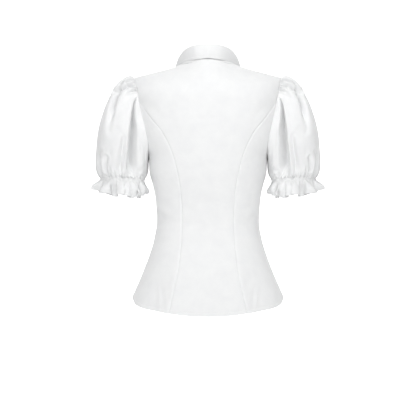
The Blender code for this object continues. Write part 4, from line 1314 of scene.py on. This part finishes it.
def add_button(name, centre, facing, upright, mesh):
    """A button with its thread, and the buttonhole under it, turned about the way that it faces."""
    across = unit(np.cross(upright, facing))
    along = np.cross(facing, across)
    basis = np.stack((across, along, facing), axis=1)
    built = bpy.data.objects.new(f"{name}_disc", mesh.copy())
    bpy.context.scene.collection.objects.link(built)
    co = np.zeros(len(built.data.vertices) * 3)
    built.data.vertices.foreach_get("co", co)
    co = (co.reshape(-1, 3) @ basis.T) + centre * MM
    built.data.vertices.foreach_set("co", co.reshape(-1))
    dress(built, "button", name)

    hole = BUTTON_HOLE_OUT * math.cos(math.pi / 4)
    threads = []
    for x in (-hole, hole):
        for shift in (-0.28, 0.28):
            threads.append(((x + shift, -hole, 1.72), (x + shift * 0.4, hole, 1.72), 0.27))
    for x in (-hole, hole):
        for y in (-hole, hole):
            threads.append(((x, y, 1.8), (x * 0.9, y * 0.9, -1.6), 0.42))
    half = BUTTONHOLE_LENGTH / 2
    base = -BUTTON_LIFT
    for x in (-0.75, 0.75):
        for k in range(27):
            y = -half + k * BUTTONHOLE_LENGTH / 26
            threads.append(((x - 0.6, y, base + 0.12), (x + 0.6, y + 0.12, base + 0.12), 0.3))
    for y in (-half - 0.2, half + 0.2):
        for shift in (-0.3, 0.0, 0.3):
            threads.append(((-1.5, y + shift, base + 0.15), (1.5, y + shift, base + 0.15), 0.3))
    places, faces, first = [], [], 0
    for one, two, radius in threads:
        p, f = capsule(np.array(one), np.array(two), radius)
        places.append(p)
        faces.append(f + first)
        first += len(p)
    points = np.concatenate(places) @ basis.T + centre
    dress(add_mesh(f"{name}_thread", points, np.concatenate(faces), THREAD), "cotton")


def build_buttons(placket, stand):
    mesh = button_template()
    points, normals, turn = stand
    middle = int(np.argmin(np.abs(turn - 3 * math.pi / 2)))
    row = points.shape[1] // 2
    lift = STIFF_SHELL / 2 + BUTTON_LIFT
    facing = normals[middle, row]
    upright = unit(np.cross(facing, (0.0, 0.0, 1.0)))
    add_button("button_1", points[middle, row] + facing * lift, facing, upright, mesh)
    points, normals = placket
    column = len(points) // 2
    line, faces = points[column], normals[column]
    for number, height in enumerate(BUTTON_HEIGHTS, start=2):
        point = read_at(height, line[:, 2], line)
        facing = unit(read_at(height, line[:, 2], faces))
        add_button(f"button_{number}", point + facing * lift, facing, np.array((0.0, 0.0, 1.0)), mesh)


def shader_of(name, **values):
    """A new material, its node tree and its shader with the named inputs set."""
    material = bpy.data.materials.new(name)
    material.use_nodes = True
    tree = material.node_tree
    shader = tree.nodes["Principled BSDF"]
    for key, value in values.items():
        shader.inputs[key.replace("_", " ")].default_value = value
    return material, tree, shader


def add_node(tree, kind, **values):
    node = tree.nodes.new(kind)
    for key, value in values.items():
        if key in node.inputs:
            node.inputs[key].default_value = value
        else:
            setattr(node, key, value)
    return node


def cotton_material():
    """Fine plain weave: yarns over and under, slubs, a faint unevenness of colour, soft handling marks."""
    material, tree, shader = shader_of(
        "white_cotton", Roughness=0.78, Sheen_Weight=0.25, Sheen_Roughness=0.45, Specular_IOR_Level=0.3
    )
    link = tree.links.new
    place = add_node(tree, "ShaderNodeUVMap", uv_map="cloth")
    body = add_node(tree, "ShaderNodeTexCoord")

    slub = add_node(tree, "ShaderNodeTexNoise", Scale=900.0, Detail=2.0)
    link(place.outputs["UV"], slub.inputs["Vector"])
    yarns = []
    for direction, scale in (("X", YARNS_ACROSS), ("Y", YARNS_ALONG)):
        yarn = add_node(tree, "ShaderNodeTexWave", bands_direction=direction, Scale=scale, Distortion=0.35)
        yarn.wave_profile = "SIN"
        yarn.inputs["Detail Scale"].default_value = 0.6
        link(place.outputs["UV"], yarn.inputs["Vector"])
        yarns.append(yarn)
    weave = add_node(tree, "ShaderNodeMath", operation="MULTIPLY")
    link(yarns[0].outputs["Fac"], weave.inputs[0])
    link(yarns[1].outputs["Fac"], weave.inputs[1])

    worn = add_node(tree, "ShaderNodeTexNoise", Scale=38.0, Detail=4.0, Roughness=0.6)
    link(body.outputs["Object"], worn.inputs["Vector"])
    tone = add_node(tree, "ShaderNodeValToRGB")
    tone.color_ramp.elements[0].position = 0.3
    tone.color_ramp.elements[0].color = (*COTTON_SHADE, 1.0)
    tone.color_ramp.elements[1].position = 0.7
    tone.color_ramp.elements[1].color = (*COTTON_LIGHT, 1.0)
    link(worn.outputs["Fac"], tone.inputs["Fac"])
    link(tone.outputs["Color"], shader.inputs["Base Color"])
    rough = add_node(tree, "ShaderNodeMapRange")
    rough.inputs["To Min"].default_value = 0.7
    rough.inputs["To Max"].default_value = 0.88
    link(worn.outputs["Fac"], rough.inputs["Value"])
    link(rough.outputs["Result"], shader.inputs["Roughness"])

    handled = add_node(tree, "ShaderNodeTexNoise", Scale=95.0, Detail=3.0, Roughness=0.55)
    link(body.outputs["Object"], handled.inputs["Vector"])
    soft = add_node(tree, "ShaderNodeBump", Strength=0.35, Distance=0.0005)
    link(handled.outputs["Fac"], soft.inputs["Height"])
    uneven = add_node(tree, "ShaderNodeBump", Strength=0.15, Distance=0.0001)
    link(slub.outputs["Fac"], uneven.inputs["Height"])
    link(soft.outputs["Normal"], uneven.inputs["Normal"])
    fine = add_node(tree, "ShaderNodeBump", Strength=0.3, Distance=0.00008)
    link(weave.outputs["Value"], fine.inputs["Height"])
    link(uneven.outputs["Normal"], fine.inputs["Normal"])
    link(fine.outputs["Normal"], shader.inputs["Normal"])
    return material


def thread_material():
    """Polyester sewing thread, a little brighter and smoother than the cloth, with its twist."""
    material, tree, shader = shader_of(
        "white_thread", Base_Color=(0.9, 0.9, 0.89, 1.0), Roughness=0.5, Sheen_Weight=0.15
    )
    body = add_node(tree, "ShaderNodeTexCoord")
    twist = add_node(tree, "ShaderNodeTexWave", bands_direction="DIAGONAL", Scale=1800.0)
    tree.links.new(body.outputs["Object"], twist.inputs["Vector"])
    bump = add_node(tree, "ShaderNodeBump", Strength=0.4, Distance=0.00005)
    tree.links.new(twist.outputs["Fac"], bump.inputs["Height"])
    tree.links.new(bump.outputs["Normal"], shader.inputs["Normal"])
    return material


def resin_material():
    """White resin with faint clouds and a soft gloss."""
    material, tree, shader = shader_of("white_resin", Roughness=0.28, Coat_Weight=0.25, Coat_Roughness=0.15)
    body = add_node(tree, "ShaderNodeTexCoord")
    cloud = add_node(tree, "ShaderNodeTexNoise", Scale=180.0, Detail=3.0, Distortion=0.8)
    tree.links.new(body.outputs["Object"], cloud.inputs["Vector"])
    tone = add_node(tree, "ShaderNodeValToRGB")
    tone.color_ramp.elements[0].color = (0.78, 0.77, 0.75, 1.0)
    tone.color_ramp.elements[1].color = (0.88, 0.88, 0.87, 1.0)
    tree.links.new(cloud.outputs["Fac"], tone.inputs["Fac"])
    tree.links.new(tone.outputs["Color"], shader.inputs["Base Color"])
    return material


def plane(name, corners, material):
    mesh = bpy.data.meshes.new(name)
    mesh.from_pydata(corners, [], [(0, 1, 2, 3)])
    mesh.materials.append(material)
    built = bpy.data.objects.new(name, mesh)
    bpy.context.scene.collection.objects.link(built)
    return built


def area_light(name, place, target, size, power):
    lamp = bpy.data.lights.new(name, "AREA")
    lamp.shape = "RECTANGLE"
    lamp.size, lamp.size_y = size
    lamp.energy = power
    holder = bpy.data.objects.new(name, lamp)
    holder.location = place
    holder.rotation_euler = (Vector(target) - Vector(place)).to_track_quat("-Z", "Y").to_euler()
    bpy.context.scene.collection.objects.link(holder)


def paper_material(name, glow):
    """Matte white paper with some light of its own, so that it stays white behind the part."""
    material, _, _ = shader_of(
        name,
        Base_Color=(0.8, 0.8, 0.8, 1.0),
        Roughness=0.9,
        Emission_Color=(1.0, 1.0, 1.0, 1.0),
        Emission_Strength=glow,
    )
    return material


def build_studio():
    """Plain white floor and wall, dim even surroundings, and wide soft light from above the camera's side."""
    wide, near, far, high = PAPER_WIDTH, PAPER_NEAR, PAPER_FAR, PAPER_HEIGHT
    floor, wall_paper = paper_material("white_floor", FLOOR_GLOW), paper_material("white_wall", WALL_GLOW)
    back_left, back_right = (-wide, far, FLOOR), (wide, far, FLOOR)
    plane("floor", [back_left, back_right, (wide, near, FLOOR), (-wide, near, FLOOR)], floor)
    plane("backdrop", [back_left, (-wide, far, high), (wide, far, high), back_right], wall_paper)
    world = bpy.data.worlds.new("studio")
    world.use_nodes = True
    world.node_tree.nodes["Background"].inputs["Color"].default_value = (1.0, 1.0, 1.0, 1.0)
    world.node_tree.nodes["Background"].inputs["Strength"].default_value = WORLD_LIGHT
    bpy.context.scene.world = world
    area_light("key", KEY_PLACE, LIT_MIDDLE, KEY_SIZE, KEY_LIGHT)
    area_light("top", TOP_PLACE, LIT_MIDDLE, TOP_SIZE, TOP_LIGHT)
    view = bpy.context.scene.view_settings
    view.view_transform = "Standard"
    view.look = "None"


def build_camera():
    """Level camera behind the back, at the distance and height that give the photograph's frame."""
    data = bpy.data.cameras.new("camera")
    data.sensor_width = SENSOR
    data.lens = SENSOR * CAMERA_DISTANCE / FRAME_WIDTH
    data.clip_end = FAR_CLIP
    camera = bpy.data.objects.new("camera", data)
    camera.location = (0.0, CAMERA_DISTANCE, CAMERA_HEIGHT)
    camera.rotation_euler = (math.pi / 2, 0.0, math.pi)
    bpy.context.scene.collection.objects.link(camera)
    bpy.context.scene.camera = camera


COTTON = cotton_material()
THREAD = thread_material()
RESIN = resin_material()
BACK = middle_panel((), 0.0, 1)
FRONT = middle_panel(STRIP, OVERLAP, -1)
BACK_SIDE = side_panel(1)
FRONT_SIDE = side_panel(-1)

hem_lines = build_back() + build_side_panels() + build_fronts()
stitches("hem_stitches", hem_lines)
placket_grid = build_placket()
stand_parts = build_stand()
build_fall()
build_sleeves()
build_cuffs()
build_buttons(placket_grid, stand_parts)
build_studio()
build_camera()
